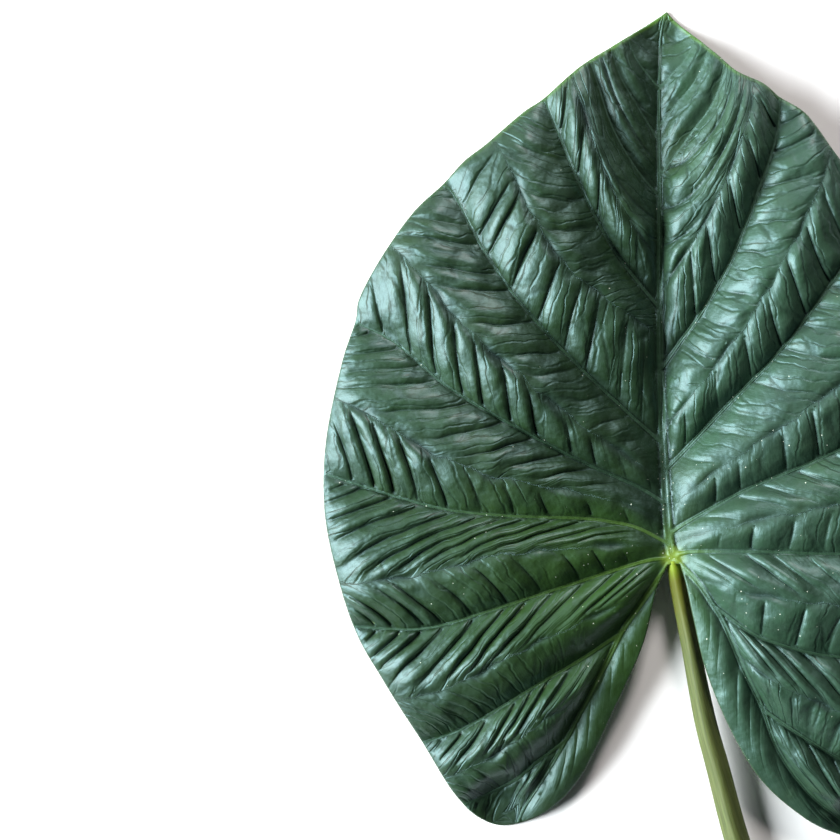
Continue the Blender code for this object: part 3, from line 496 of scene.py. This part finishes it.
class Half:
    """One side of the blade: its spine of midrib and costa, its margin, its main veins and its bands."""

    def __init__(self, margin, costa, veins, smooth_part, seed):
        self.margin = smooth(margin)
        midrib = smooth(MIDRIB)[::-1]
        costa = smooth(costa)
        leave = place_on(self.margin, costa[-1])
        costa[-1] = along(self.margin, leave)
        self.costa = costa
        self.spine = np.vstack([midrib, costa[1:]])
        self.veins = []
        starts, ends = [0.0], [0.0]
        for points, *_ in veins:
            starts.append(place_on(self.spine, points[0]))
            ends.append(place_on(self.margin, points[-1]))
            first, last = along(self.spine, starts[-1]), along(self.margin, ends[-1])
            self.veins.append(smooth([first, *points[1:-1], last]))
        starts.append(1.0)
        ends.append(leave)
        tip, foot = self.margin[:1], along(self.margin, [leave])
        sides = [np.repeat(tip, 2, axis=0), *self.veins, np.repeat(foot, 2, axis=0)]
        kinds = [kind for _, *kind in veins] + [LAST_BAND]
        self.bands = [
            Band(sides[k], sides[k + 1], part_of(self.spine, starts[k], starts[k + 1]),
                 part_of(self.margin, ends[k], ends[k + 1]), kinds[k], smooth_part, seed + k)
            for k in range(len(sides) - 1)
        ]
        inner = part_of(self.margin, leave, 1)[::-1]
        beyond = inner[::-1] + STRIP_REACH * np.array([-np.sign(margin[5][0]), -1])
        self.strip = np.vstack([costa, beyond])
        start = np.array([costa[0], inner[0]])
        foot = np.repeat(foot, 2, axis=0)
        self.bands.append(Band(costa, inner, start, foot, INNER_STRIP, smooth_part, seed))


LEFT = Half(LEFT_MARGIN, LEFT_COSTA, LEFT_VEINS, 0.38, 11)
RIGHT = Half(RIGHT_MARGIN, RIGHT_COSTA, RIGHT_VEINS, 0.22, 47)
BANDS = LEFT.bands + RIGHT.bands
OUTLINE = np.vstack([LEFT.margin, RIGHT.margin[::-1]])

# Every vein's curve, from its origin outward, and half its rib's width at either end
VEINS = [(smooth(MIDRIB), MIDRIB_HALF), (LEFT.costa, COSTA_HALF), (RIGHT.costa, COSTA_HALF)]
for half in (LEFT, RIGHT):
    VEINS += [(vein, MINOR_HALF) for vein in half.veins[:MINOR_VEINS]]
    VEINS += [(vein, VEIN_HALF) for vein in half.veins[MINOR_VEINS:]]


def plate_heights(points):
    """The blade's broad form: a thin plate bent through HEIGHTS."""
    places = np.array([place for place, _ in HEIGHTS], float) / 100
    heights = np.array([height for _, height in HEIGHTS], float)

    def kernel(a, b):
        r2 = ((a[:, None, :] - b[None, :, :]) ** 2).sum(axis=2)
        return 0.5 * r2 * np.log(r2 + 1e-12)

    count = len(places)
    flat = np.hstack([np.ones((count, 1)), places])
    system = np.zeros((count + 3, count + 3))
    system[:count, :count] = kernel(places, places) + 1e-4 * np.eye(count)
    system[:count, count:] = flat
    system[count:, :count] = flat.T
    weights = np.linalg.solve(system, np.concatenate([heights, np.zeros(3)]))
    points = points / 100
    return kernel(points, places) @ weights[:count] + weights[count] + points @ weights[count + 1 :]


class Form:
    """Heights and markings of the blade at points of the plan."""

    def __init__(self, points, relief):
        arch, rise, furrow, phase, run = relief
        self.points, self.phase, self.run = points, phase, run
        quilt = np.ones(len(points))
        to_spine = np.full(len(points), 1e9)
        self.under_rib = np.zeros(len(points))
        self.rib = np.zeros(len(points))
        self.groove = np.zeros(len(points))
        self.to_vein = np.full(len(points), 1e9)
        for number, (vein, halves) in enumerate(VEINS):
            gap, share = distance_to(vein, points)
            quilt *= 1 - np.exp(-gap / QUILT_REACH)
            if number < 3:
                to_spine = np.minimum(to_spine, gap)
                taper = np.interp(share, (0, 1), MIDRIB_TAPER[::-1])
            else:
                taper = np.interp(share, (0, 1), VEIN_TAPER)
            half = np.interp(share, (0, 1), halves)
            ridge = RIB_DEPTH * taper * ease(1 - gap / RIB_REACH)
            self.under_rib = np.maximum(self.under_rib, ridge)
            self.rib = np.maximum(self.rib, ease(1.6 - gap / half) * half)
            beside = np.exp(-(((gap - 1.5 * half) / (0.45 * half)) ** 2)) * half
            self.groove = np.maximum(self.groove, beside)
            self.to_vein = np.minimum(self.to_vein, gap / half)
        in_strip = inside(points, LEFT.strip) | inside(points, RIGHT.strip)
        self.strip = in_strip.astype(float)
        fold = np.where(in_strip, 0, FOLD_HEIGHT * (1 - np.exp(-to_spine / FOLD_REACH)))
        self.margin, _ = distance_to(OUTLINE, points)
        near_edge = 1 - np.exp(-self.margin / MARGIN_REACH)
        by_quilt, by_arch, by_ridges = (share + (1 - share) * near_edge for share in EDGE_SHARES)
        low = plate_heights(points) + fold + QUILT_HEIGHT * quilt * by_quilt
        low += arch * ease(quilt * 1.2) * by_arch
        strength = np.clip(RIDGE_STRENGTH + ripples(points, STRENGTH_WAVES), *STRENGTH_LIMITS)
        low += rise * strength * by_ridges * ease(quilt * 2.2)
        low += ripples(points, UNEVENNESS) * ease(quilt * 1.5)
        self.furrow = furrow * strength * near_edge * ease(quilt * 3)
        self.crest = ease(rise * strength / RIDGE_HEIGHT * near_edge * ease(quilt * 2.2) / FULL_CREST)
        away = points - np.array(JUNCTION)
        self.junction = norm(away, axis=1)
        towards = away @ YELLOW_SIDE / np.maximum(self.junction, 1)
        self.yellowing = ease(1.05 - self.junction / (16 + 74 * ease((towards + 0.15) / 0.9)))
        thickening = JUNCTION_THICKENING * ease(1 - self.junction / JUNCTION_REACH)
        self.low = self.settle(low - self.under_rib * near_edge - thickening)
        self.top = self.settle(low) + BLADE_THICKNESS
        groove = self.groove * (1 - ease(self.rib * 3)) * near_edge
        self.top += RIB_RISE * self.rib - GROOVE_DEPTH * groove

    def settle(self, low):
        """Flattens the form at the three spots that the leaf rests on."""
        low = np.maximum(low, LIFT)
        for spot in REST_SPOTS:
            gap = norm(self.points - np.array(spot), axis=1)
            low = low * ease((gap - REST_RADIUS) / REST_BLEND)
        return low


class Sampler:
    """Collects the plan's points, each with its band and place there, and the lines that the mesh keeps."""

    def __init__(self):
        self.points, self.edges, self.cells = [], [], {}

    def cell(self, x, y):
        return int(x // ROW_CLOSEST), int(y // ROW_CLOSEST)

    def near(self, x, y, reach):
        i, j = self.cell(x, y)
        for a in (i - 1, i, i + 1):
            for b in (j - 1, j, j + 1):
                for k in self.cells.get((a, b), ()):
                    if math.hypot(x - self.points[k][0], y - self.points[k][1]) < reach:
                        return k
        return None

    def line(self, places, closed=False, reach=ROW_CLOSEST, join=False):
        """Adds a line of points. One closer than reach to an earlier one is left out or, where join is set,
        stands for it."""
        chain = []
        for x, y in places:
            known = self.near(x, y, reach)
            if known is None:
                known = len(self.points)
                self.points.append((float(x), float(y)))
                self.cells.setdefault(self.cell(x, y), []).append(known)
            elif not join:
                known = None
            chain.append(known)
        if closed:
            chain.append(chain[0])
        pairs = zip(chain, chain[1:])
        self.edges += [(a, b) for a, b in pairs if None not in (a, b) and a != b]

    def runs(self, places, good, **kinds):
        """Adds the stretches of a line where good holds."""
        ends = np.flatnonzero(np.diff(np.concatenate([[0], good, [0]]).astype(int)))
        for first, last in zip(ends[::2], ends[1::2]):
            self.line(places[first:last], **kinds)


def locate(points):
    """Each point's band, as an index of BANDS, and its s and t there."""
    shares = (np.linspace(0, 1, count) for count in GRID)
    grid_s, grid_t = (g.ravel() for g in np.meshgrid(*shares, indexing="ij"))
    tree = KDTree(len(BANDS) * len(grid_s))
    for number, band in enumerate(BANDS):
        for k, place in enumerate(band.plan(grid_s, grid_t)):
            tree.insert((place[0], place[1], 0), number * len(grid_s) + k)
    tree.balance()
    found = np.array([tree.find((x, y, 0))[1] for x, y in points])
    bands, k = found // len(grid_s), found % len(grid_s)
    s, t = grid_s[k], grid_t[k]
    small = 1e-3
    for number, band in enumerate(BANDS):
        mine = bands == number
        if not mine.any():
            continue
        a, b = s[mine], t[mine]
        for _ in range(3):
            here = band.plan(a, b)
            by_s = (band.plan(a + small, b) - band.plan(a - small, b)) / (2 * small)
            by_t = (band.plan(a, b + small) - band.plan(a, b - small)) / (2 * small)
            off = points[mine] - here
            area = by_s[:, 0] * by_t[:, 1] - by_s[:, 1] * by_t[:, 0]
            area = np.where(np.abs(area) < 1, np.inf, area)
            a = np.clip(a + (off[:, 0] * by_t[:, 1] - off[:, 1] * by_t[:, 0]) / area, 0, 1)
            b = np.clip(b + (off[:, 1] * by_s[:, 0] - off[:, 0] * by_s[:, 1]) / area, 0, 1)
        s[mine], t[mine] = a, b
    return bands, s, t


def relief_at(points):
    """The bands' arch and relief at points of the plan."""
    bands, s, t = locate(points)
    found = np.zeros((5, len(points)))
    for number, band in enumerate(BANDS):
        mine = bands == number
        if mine.any():
            found[0, mine] = band.arch(s[mine], t[mine])
            found[1:, mine] = band.relief(s[mine], t[mine])
    return found


def nearest_vein(points):
    gap = np.full(len(points), np.inf)
    for vein, _ in VEINS:
        gap = np.minimum(gap, distance_to(vein, points)[0])
    return gap


def sample(ring, step, row_flanks, flanks):
    """Points and triangles of the plan inside a ring, in lines that follow the veins and the ridges."""
    sampler = Sampler()
    sampler.line(ring, closed=True, reach=LINE_CLOSEST)
    for vein, halves in VEINS:
        line = spaced(vein, step)
        good = inside(line, ring) & (distance_to(ring, line)[0] > step / 3)
        sampler.runs(line, good, reach=LINE_CLOSEST, join=True)
        for flank in flanks:
            reach = flank * np.interp(np.linspace(0, 1, len(line)), (0, 1), halves)
            for side in (-1, 1):
                places = offset(line, side * reach)
                good = nearest_vein(places) > 0.95 * reach
                good &= inside(places, ring) & (distance_to(ring, places)[0] > step / 3)
                sampler.runs(places, good, reach=LINE_CLOSEST)
    for reach in MARGIN_FLANKS if flanks else ():
        turned = offset(spaced(OUTLINE, step), 1)
        side = 1 if inside(turned[50:51], ring)[0] else -1
        places = offset(spaced(OUTLINE, step), side * reach)
        good = inside(places, ring) & (distance_to(ring, places)[0] > 0.8 * (reach - RIM_BULGE))
        sampler.runs(places, good & (nearest_vein(places) > 0.9), reach=LINE_CLOSEST)
    for band in BANDS:
        lines = list(band.rows(row_flanks, step))
        if 0 < band.creases[1] < 1:
            s = np.linspace(0, 1, round(length_of(band.lower) / step))
            for reach in CREASE_FLANKS if flanks else (0.0,):
                for side in (-1, 1):
                    lines.insert(0, (s, band.crease(s) + side * reach / np.maximum(band.width(s), 1)))
        s, t = (np.concatenate([line[k] for line in lines]) for k in (0, 1))
        number = np.repeat(np.arange(len(lines)), [len(line[0]) for line in lines])
        places = band.plan(s.clip(0, 1), t)
        good = (s > 0) & (s < 1) & inside(places, ring)
        good &= nearest_vein(places) > (1.0 if flanks else step / 2)
        good &= distance_to(ring, places)[0] > (MARGIN_FLANKS[-1] if flanks else step / 2)
        for k in range(len(lines)):
            mine = number == k
            sampler.runs(places[mine], good[mine], reach=ROW_CLOSEST if flanks else step / 2.5)
    plan = np.array(sampler.points)
    return plan, triangulate(plan, sampler.edges, ring)


def triangulate(plan, edges, ring):
    """Triangles that keep the edges, less the later one of any two that cross."""
    places = [Vector(place) for place in plan]
    while True:
        _, parts, faces, origins, kept, _ = delaunay_2d_cdt(places, edges, [], 0, 1e-6)
        crossed = {k for k, origin in enumerate(origins) if not origin}
        if not crossed:
            break
        meeting = {k: set() for k in crossed}
        for ends, names in zip(parts, kept):
            for k in crossed.intersection(ends):
                meeting[k].update(names)
        dropped = {name for names in meeting.values() for name in sorted(names)[1:]}
        edges = [edge for k, edge in enumerate(edges) if k not in dropped]
    faces = np.array([origin[0] for origin in origins])[np.array(faces)]
    return faces[inside(plan[faces].mean(axis=1), ring)]


def rim_ring():
    """The mesh's outermost points, in order round the blade, and the way out from each."""
    count = round(length_of(OUTLINE) / MARGIN_STEP)
    ring = along(OUTLINE, np.linspace(0, 1, count, endpoint=False))
    corners = [LEFT.margin[0], LEFT.margin[-1], RIGHT.margin[-1], LEFT.costa[-1], RIGHT.costa[-1]]
    for half in (LEFT, RIGHT):
        corners += [vein[-1] for vein in half.veins]
    for corner in corners:
        ring[norm(ring - corner, axis=1).argmin()] = corner
    ahead = np.roll(ring, -1, axis=0) - np.roll(ring, 1, axis=0)
    ahead /= norm(ahead, axis=1, keepdims=True)
    out = np.column_stack([ahead[:, 1], -ahead[:, 0]])
    if inside(ring[200:201] + out[200:201], OUTLINE)[0]:
        out = -out
    return ring - RIM_INSET * out, out


def to_world(spots):
    """From millimetres of the plan to metres of the frame."""
    low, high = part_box("leaf_blade")
    origin = np.array([low[0] - OUTLINE[:, 0].min() * METRES, high[1] - OUTLINE[:, 1].max() * METRES, 0])
    return np.asarray(spots) * METRES + origin


def make_mesh(name, spots, faces, material):
    mesh = bpy.data.meshes.new(name)
    mesh.from_pydata(to_world(spots).tolist(), [], [[int(k) for k in face] for face in faces])
    mesh.shade_smooth()
    mesh.materials.append(material)
    obj = bpy.data.objects.new(name, mesh)
    bpy.context.scene.collection.objects.link(obj)
    return obj


def add_values(mesh, name, values):
    layer = mesh.attributes.new(name, "FLOAT", "POINT")
    layer.data.foreach_set("value", np.asarray(values, np.float32))


def add_uv(mesh, places):
    """Lays a mesh out by its vertices' own places, in centimetres."""
    corners = np.empty(len(mesh.loops), np.int32)
    mesh.loops.foreach_get("vertex_index", corners)
    layer = mesh.uv_layers.new(name="ribbing")
    layer.data.foreach_set("uv", (np.asarray(places)[corners] / 10).astype(np.float32).ravel())


def make_blade(material):
    """The blade, with a finely sampled upper face, a plainer underside and a rounded rim."""
    ring, out = rim_ring()
    inner = ring - RIM_BULGE * out
    top_plan, top_faces = sample(inner, ROW_STEP, ROW_FLANKS, FLANKS)
    under_plan, under_faces = sample(inner, UNDER_STEP, UNDER_FLANKS, ())
    top, under = Form(top_plan, relief_at(top_plan)), Form(under_plan, relief_at(under_plan))
    count, lower = len(ring), len(top_plan)
    middle = lower + len(under_plan)
    heights = (top.top[:count] + under.low[:count]) / 2
    spots = np.vstack([
        np.column_stack([top_plan, top.top]),
        np.column_stack([under_plan, under.low]),
        np.column_stack([ring, heights]),
    ])
    faces = [tuple(face) for face in top_faces] + [tuple(face[::-1] + lower) for face in under_faces]
    for k in range(count):
        n = (k + 1) % count
        faces.append((n, k, middle + k, middle + n))
        faces.append((middle + n, middle + k, lower + k, lower + n))
    blade = make_mesh("blade", spots, faces, material)
    work = bmesh.new()
    work.from_mesh(blade.data)
    bmesh.ops.recalc_face_normals(work, faces=work.faces)
    work.to_mesh(blade.data)
    work.free()
    mesh = blade.data

    def spread(name):
        a, b = getattr(top, name), getattr(under, name)
        return np.concatenate([a, b, a[:count]])

    vein = ease(1.75 - spread("to_vein"))
    add_values(mesh, "vein", vein * np.repeat([1, 0.8], [lower, len(spots) - lower]))
    for name in ("furrow", "crest", "strip", "yellowing", "margin", "junction"):
        add_values(mesh, name, spread(name))
    add_values(mesh, "groove", np.clip(spread("groove") * 1.6, 0, 1))
    add_values(mesh, "underside", np.repeat([0, 1, 0.4], [lower, len(under_plan), count]))
    add_uv(mesh, np.column_stack([spread("phase"), spread("run")]))
    return blade


def make_petiole(material):
    """The petiole: a tapering stalk with one soft keel, from the junction to its cut end."""
    path = STALK_START + PETIOLE_PATH[2:]
    curve = smooth(path)
    shares = np.linspace(0, 0.999, PETIOLE_RINGS)
    centres = along(curve, shares)
    radii = np.interp(shares, [place_on(curve, point) for point in path], STALK_RADII + PETIOLE_RADII[2:])
    centres[:, 2] = np.maximum(centres[:, 2], radii)
    ahead = np.gradient(centres, axis=0)
    ahead /= norm(ahead, axis=1, keepdims=True)
    side = np.cross(ahead, [0, 0, 1])
    side /= norm(side, axis=1, keepdims=True)
    up = np.cross(side, ahead)
    turns = math.tau * np.arange(PETIOLE_SIDES) / PETIOLE_SIDES
    keel = 1 - KEEL_FLAT * np.sin(2 * (turns - KEEL_TURN)) ** 2 * (np.cos(turns - KEEL_TURN) > 0)
    spots, places = [], []
    length = length_of(curve)
    for k in range(PETIOLE_RINGS):
        wave = np.cos(STALK_RIBS * turns + 0.4 * math.sin(5 * shares[k]))
        reach = radii[k] * keel * (1 - STALK_RIB_DEPTH - STALK_RIB_DEPTH * wave)
        sideways = np.outer(reach * np.sin(turns), side[k])
        spots.append(centres[k] + sideways + np.outer(reach * np.cos(turns), up[k]))
        places.append(np.column_stack([turns * radii[k], np.full(PETIOLE_SIDES, shares[k] * length)]))
    last = spots[-1]
    middle = last.mean(axis=0)
    for inset, sink in CUT_RINGS:
        spots.append(middle + inset * (last - middle) - sink * ahead[-1])
        places.append(places[PETIOLE_RINGS - 1])
    rings = len(spots)
    spots = np.vstack(spots)
    faces = []
    for ring in range(rings - 1):
        for k in range(PETIOLE_SIDES):
            a, b = ring * PETIOLE_SIDES + k, ring * PETIOLE_SIDES + (k + 1) % PETIOLE_SIDES
            faces.append((a, b, b + PETIOLE_SIDES, a + PETIOLE_SIDES))
    faces.append(tuple(range(PETIOLE_SIDES))[::-1])
    faces.append(tuple(range((rings - 1) * PETIOLE_SIDES, rings * PETIOLE_SIDES)))
    spots[:, 2] = np.maximum(spots[:, 2], 0)
    petiole = make_mesh("stalk", spots, faces, material)
    mesh = petiole.data
    run = np.append(shares * length, [length] * len(CUT_RINGS))
    add_values(mesh, "length", np.repeat(run, PETIOLE_SIDES))
    add_values(mesh, "cut", np.repeat(np.arange(rings) >= PETIOLE_RINGS, PETIOLE_SIDES))
    add_uv(mesh, np.vstack(places))
    return petiole


class Nodes:
    """A material's node tree, with short calls for the nodes that are used here."""

    def __init__(self, name):
        self.material = bpy.data.materials.new(name)
        self.material.use_nodes = True
        self.tree = self.material.node_tree
        self.shader = self.tree.nodes["Principled BSDF"]

    def node(self, kind, values=(), **settings):
        node = self.tree.nodes.new(kind)
        for key, value in settings.items():
            setattr(node, key, value)
        for key, value in dict(values).items():
            self.put(node.inputs[key], value)
        return node

    def put(self, socket, value):
        if isinstance(value, bpy.types.NodeSocket):
            self.tree.links.new(value, socket)
        elif isinstance(value, tuple) and len(value) == 3 and socket.type == "RGBA":
            socket.default_value = (*value, 1)
        else:
            socket.default_value = value

    def set(self, name, value):
        self.put(self.shader.inputs[name], value)

    def value(self, name):
        return self.node("ShaderNodeAttribute", attribute_name=name).outputs["Fac"]

    def math(self, operation, a, b=0.5, clamp=False):
        node = self.node("ShaderNodeMath", operation=operation, use_clamp=clamp)
        self.put(node.inputs[0], a)
        self.put(node.inputs[1], b)
        return node.outputs[0]

    def mix(self, share, a, b, blend="MIX"):
        node = self.node("ShaderNodeMix", data_type="RGBA", blend_type=blend)
        self.put(node.inputs[0], share)
        self.put(node.inputs[6], a)
        self.put(node.inputs[7], b)
        return node.outputs[2]

    def times(self, a, b):
        return self.math("MULTIPLY", a, b)

    def plus(self, a, b):
        return self.math("ADD", a, b)

    def layers(self, colour, *layers):
        """The colour with others laid over it, each by its own mask and share."""
        for mask, share, over in layers:
            colour = self.mix(self.times(mask, share), colour, over)
        return colour

    def fade(self, value, low, high, smooth=True):
        """1 where value is low, falling to 0 where it is high."""
        node = self.node("ShaderNodeMapRange", {"Value": value, "From Min": low, "From Max": high,
                                                "To Min": 1.0, "To Max": 0.0})
        node.interpolation_type = "SMOOTHSTEP" if smooth else "LINEAR"
        return node.outputs[0]

    def bump(self, height, strength, distance):
        node = self.node("ShaderNodeBump", {"Height": height, "Strength": strength, "Distance": distance})
        self.set("Normal", node.outputs[0])

    def noise(self, scale, place, detail=2.0, roughness=0.5, stretch=(1, 1, 1)):
        mapping = self.node("ShaderNodeMapping", {"Vector": place})
        mapping.inputs["Scale"].default_value = stretch
        values = {"Vector": mapping.outputs[0], "Scale": scale, "Detail": detail, "Roughness": roughness}
        return self.node("ShaderNodeTexNoise", values).outputs["Fac"]


def blade_material():
    """Dark green, mottled and glossy: olive by the junction, with paler veins, thin cross veins, waxy bloom
    and dust. Painted shade darkens the left half, the furrows, the grooves beside the veins and a strip left
    of the midrib; painted sheen makes the right half teal and adds to the pale mottling, and painted light
    pales the crests."""
    n = Nodes("leaf blade")
    shape = n.node("ShaderNodeTexCoord").outputs["Object"]
    ribbing = n.node("ShaderNodeUVMap", uv_map="ribbing").outputs[0]
    names = ("vein", "furrow", "groove", "margin", "junction", "underside", "yellowing", "crest", "strip")
    vein, furrow, groove, margin, junction, underside, yellowing, crest, strip = map(n.value, names)

    patches = n.noise(45, shape, detail=3, roughness=0.6)
    spots = n.noise(190, shape, detail=2, roughness=0.6)
    bloom_and_sheen = n.noise(330, shape, detail=2, roughness=0.7)
    grain = n.noise(900, shape, detail=1, roughness=0.7)
    broad = n.noise(19, shape, detail=2, roughness=0.6)
    streaks = n.noise(15, ribbing, detail=2, roughness=0.7, stretch=(1, 0.22, 1))
    in_patches = n.fade(patches, 0.4, 0.62)

    wander = n.node("ShaderNodeTexNoise", {"Vector": shape, "Scale": 150.0}).outputs["Color"]
    bent = {0: wander, 1: (0.4, 0.4, 0), 2: ribbing}
    bent = n.node("ShaderNodeVectorMath", bent, operation="MULTIPLY_ADD").outputs[0]
    bent = n.node("ShaderNodeMapping", {"Vector": bent, "Scale": (1, 0.3, 1)}).outputs[0]
    cells = n.node("ShaderNodeTexVoronoi", {"Vector": bent, "Scale": 2.0}, feature="DISTANCE_TO_EDGE")
    thin = n.times(n.fade(cells.outputs["Distance"], 0, 0.13), n.fade(vein, 0, 0.5))
    thin = n.times(n.times(thin, n.fade(junction, 60, 18)), n.fade(strip, 0, 1.2))

    x, y, _ = n.node("ShaderNodeSeparateXYZ", {"Vector": shape}).outputs
    # Painted shade: a dark strip beside the midrib on its left, above the junction.
    beside = n.times(n.fade(x, -0.005, -0.017), n.fade(x, -0.0045, -0.003))
    beside = n.times(beside, n.fade(y, 0, -0.025))
    lamina = n.mix(n.fade(broad, 0.42, 0.58), (0.013, 0.048, 0.013), (0.022, 0.046, 0.01))
    lamina = n.layers(
        lamina,
        (in_patches, 1, (0.007, 0.024, 0.005)),
        # Painted light: the ridge crests are lightened towards a paler green.
        (crest, 0.45, (0.028, 0.08, 0.03)),
        (n.fade(spots, 0.36, 0.6), 0.45, (0.005, 0.017, 0.004)),
        (n.fade(streaks, 0.36, 0.6), 0.25, (0.02, 0.055, 0.018)),
        # Painted shade: darker olive over the left half of the blade.
        (n.fade(x, -0.02, 0.012), 0.6, (0.01, 0.023, 0.004)),
        # Painted sheen: a lighter teal over the right half of the blade.
        (n.fade(x, 0.02, -0.01), 0.45, (0.032, 0.07, 0.047)),
        (thin, 0.4, (0.004, 0.014, 0.006)),
        # Waxy bloom and painted sheen: fine lighter teal-grey mottling.
        (n.fade(bloom_and_sheen, 0.4, 0.62), 0.3, (0.03, 0.06, 0.036)),
        (yellowing, 0.8, (0.02, 0.055, 0.002)),
        # Painted shade in the furrows between the ridges.
        (furrow, 0.75, (0.002, 0.008, 0.003)),
        # Painted shade in the grooves beside the veins.
        (groove, 0.8, (0.002, 0.006, 0.002)),
        # Painted shade: the dark strip left of the midrib.
        (beside, 0.65, (0.005, 0.014, 0.003)),
    )
    at_tip = n.times(n.fade(junction, 166, 120), n.fade(margin, 0.5, 1.6))
    at_tip = n.math("MAXIMUM", n.fade(junction, 165, 161), at_tip)
    colour = n.layers(
        lamina,
        (vein, 0.8, n.mix(yellowing, (0.026, 0.062, 0.03), (0.06, 0.125, 0.01))),
        (n.fade(junction, 1, 5), 0.9, (0.14, 0.21, 0.012)),
        (n.fade(margin, 0.15, 0.7), 0.6, (0.02, 0.042, 0.012)),
        (at_tip, 0.65, (0.075, 0.17, 0.012)),
        (underside, 1, n.mix(vein, (0.09, 0.15, 0.07), (0.16, 0.22, 0.09))),
    )

    cells = n.node("ShaderNodeTexVoronoi", {"Vector": shape, "Scale": 620.0, "Randomness": 1.0})
    random = n.node("ShaderNodeSeparateColor", {"Color": cells.outputs["Color"]}).outputs
    amount = n.plus(n.times(n.fade(junction, 6, 85), 0.3), n.times(vein, 0.2))
    chosen = n.math("LESS_THAN", random[0], n.plus(amount, 0.015))
    reach = n.plus(n.times(random[1], 0.09), 0.035)
    dust = n.times(n.math("LESS_THAN", cells.outputs["Distance"], reach), chosen)
    dust = n.times(dust, n.fade(underside, 0, 0.2))
    n.set("Base Color", n.layers(colour, (dust, 0.8, (0.6, 0.66, 0.55))))

    rough = n.plus(n.times(patches, 0.24), 0.33)
    for mask, share in ((furrow, 0.15), (in_patches, 0.06), (dust, 0.4)):
        rough = n.plus(rough, n.times(mask, share))
    n.set("Roughness", rough)
    n.set("Specular IOR Level", 0.62)
    n.set("Specular Tint", (0.55, 0.9, 1.0, 1))
    n.set("Coat Weight", 0.1)
    n.set("Coat Roughness", 0.28)

    height = n.plus(n.times(streaks, 0.16), n.times(spots, 1.3))
    height = n.math("SUBTRACT", height, n.times(thin, 0.4))
    n.bump(n.plus(height, n.times(grain, 0.09)), 0.8, 0.0005)
    return n.material


def petiole_material():
    """Olive green with faint lengthwise streaks, yellower by the junction, and pale where it is cut."""
    n = Nodes("petiole")
    ribbing = n.node("ShaderNodeUVMap", uv_map="ribbing").outputs[0]
    shape = n.node("ShaderNodeTexCoord").outputs["Object"]
    run, cut = n.value("length"), n.value("cut")
    streaks = n.noise(14, ribbing, detail=3, roughness=0.6, stretch=(1, 0.05, 1))
    patches = n.noise(60, shape, detail=3)
    skin = n.layers(
        n.mix(n.fade(streaks, 0.35, 0.65), (0.05, 0.07, 0.014), (0.08, 0.105, 0.026)),
        (n.fade(patches, 0.35, 0.65), 0.35, (0.07, 0.085, 0.02)),
        (n.fade(run, 3, 30), 1, (0.1, 0.115, 0.006)),
        (n.fade(run, 1, 7), 1, (0.17, 0.25, 0.01)),
        (cut, 1, (0.25, 0.3, 0.13)),
    )
    n.set("Base Color", skin)
    n.set("Roughness", n.plus(n.times(streaks, 0.2), 0.5))
    n.set("Specular IOR Level", 0.35)
    n.set("Subsurface Weight", 0.08)
    n.set("Subsurface Scale", 0.002)
    n.bump(streaks, 0.35, 0.0004)
    return n.material


def floor_material():
    n = Nodes("floor")
    n.set("Base Color", (0.9, 0.9, 0.905, 1))
    n.set("Roughness", 0.7)
    return n.material


def make_stage():
    """A plain pale floor, with soft light from the left, from beyond the tip and from all round."""
    scene = bpy.context.scene
    bpy.ops.mesh.primitive_plane_add(size=FLOOR_SIZE, location=(0, 0, 0))
    floor = bpy.context.object
    floor.name = "floor"
    floor.data.materials.append(floor_material())
    for name, place, size, power, colour in LIGHTS:
        light = bpy.data.lights.new(name, "AREA")
        light.shape = "RECTANGLE"
        light.size, light.size_y = size
        light.energy = power
        light.color = colour
        lamp = bpy.data.objects.new(name, light)
        lamp.location = place
        lamp.rotation_euler = (-Vector(place)).to_track_quat("-Z", "Y").to_euler()
        scene.collection.objects.link(lamp)
    world = bpy.data.worlds.new("studio")
    world.use_nodes = True
    sky = world.node_tree.nodes["Background"].inputs
    sky["Color"].default_value = (*WORLD_COLOUR, 1)
    sky["Strength"].default_value = WORLD_STRENGTH
    scene.world = world
    scene.view_settings.view_transform = "Standard"


def make_camera():
    """Straight above the left part of the leaf, as in the photograph, whose right edge cuts the leaf."""
    target = Vector(to_world([[*VIEW_CENTRE, 10]])[0])
    data = bpy.data.cameras.new("camera")
    data.sensor_width = 36
    data.lens = data.sensor_width * CAMERA_HEIGHT / VIEW_WIDTH
    camera = bpy.data.objects.new("camera", data)
    camera.location = target + Vector((0, 0, CAMERA_HEIGHT))
    bpy.context.scene.collection.objects.link(camera)
    bpy.context.scene.camera = camera


blade = make_blade(blade_material())
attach(blade, "root")
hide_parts("leaf_blade")

stalk = make_petiole(petiole_material())
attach(stalk, "root")
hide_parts("petiole")

make_stage()
make_camera()
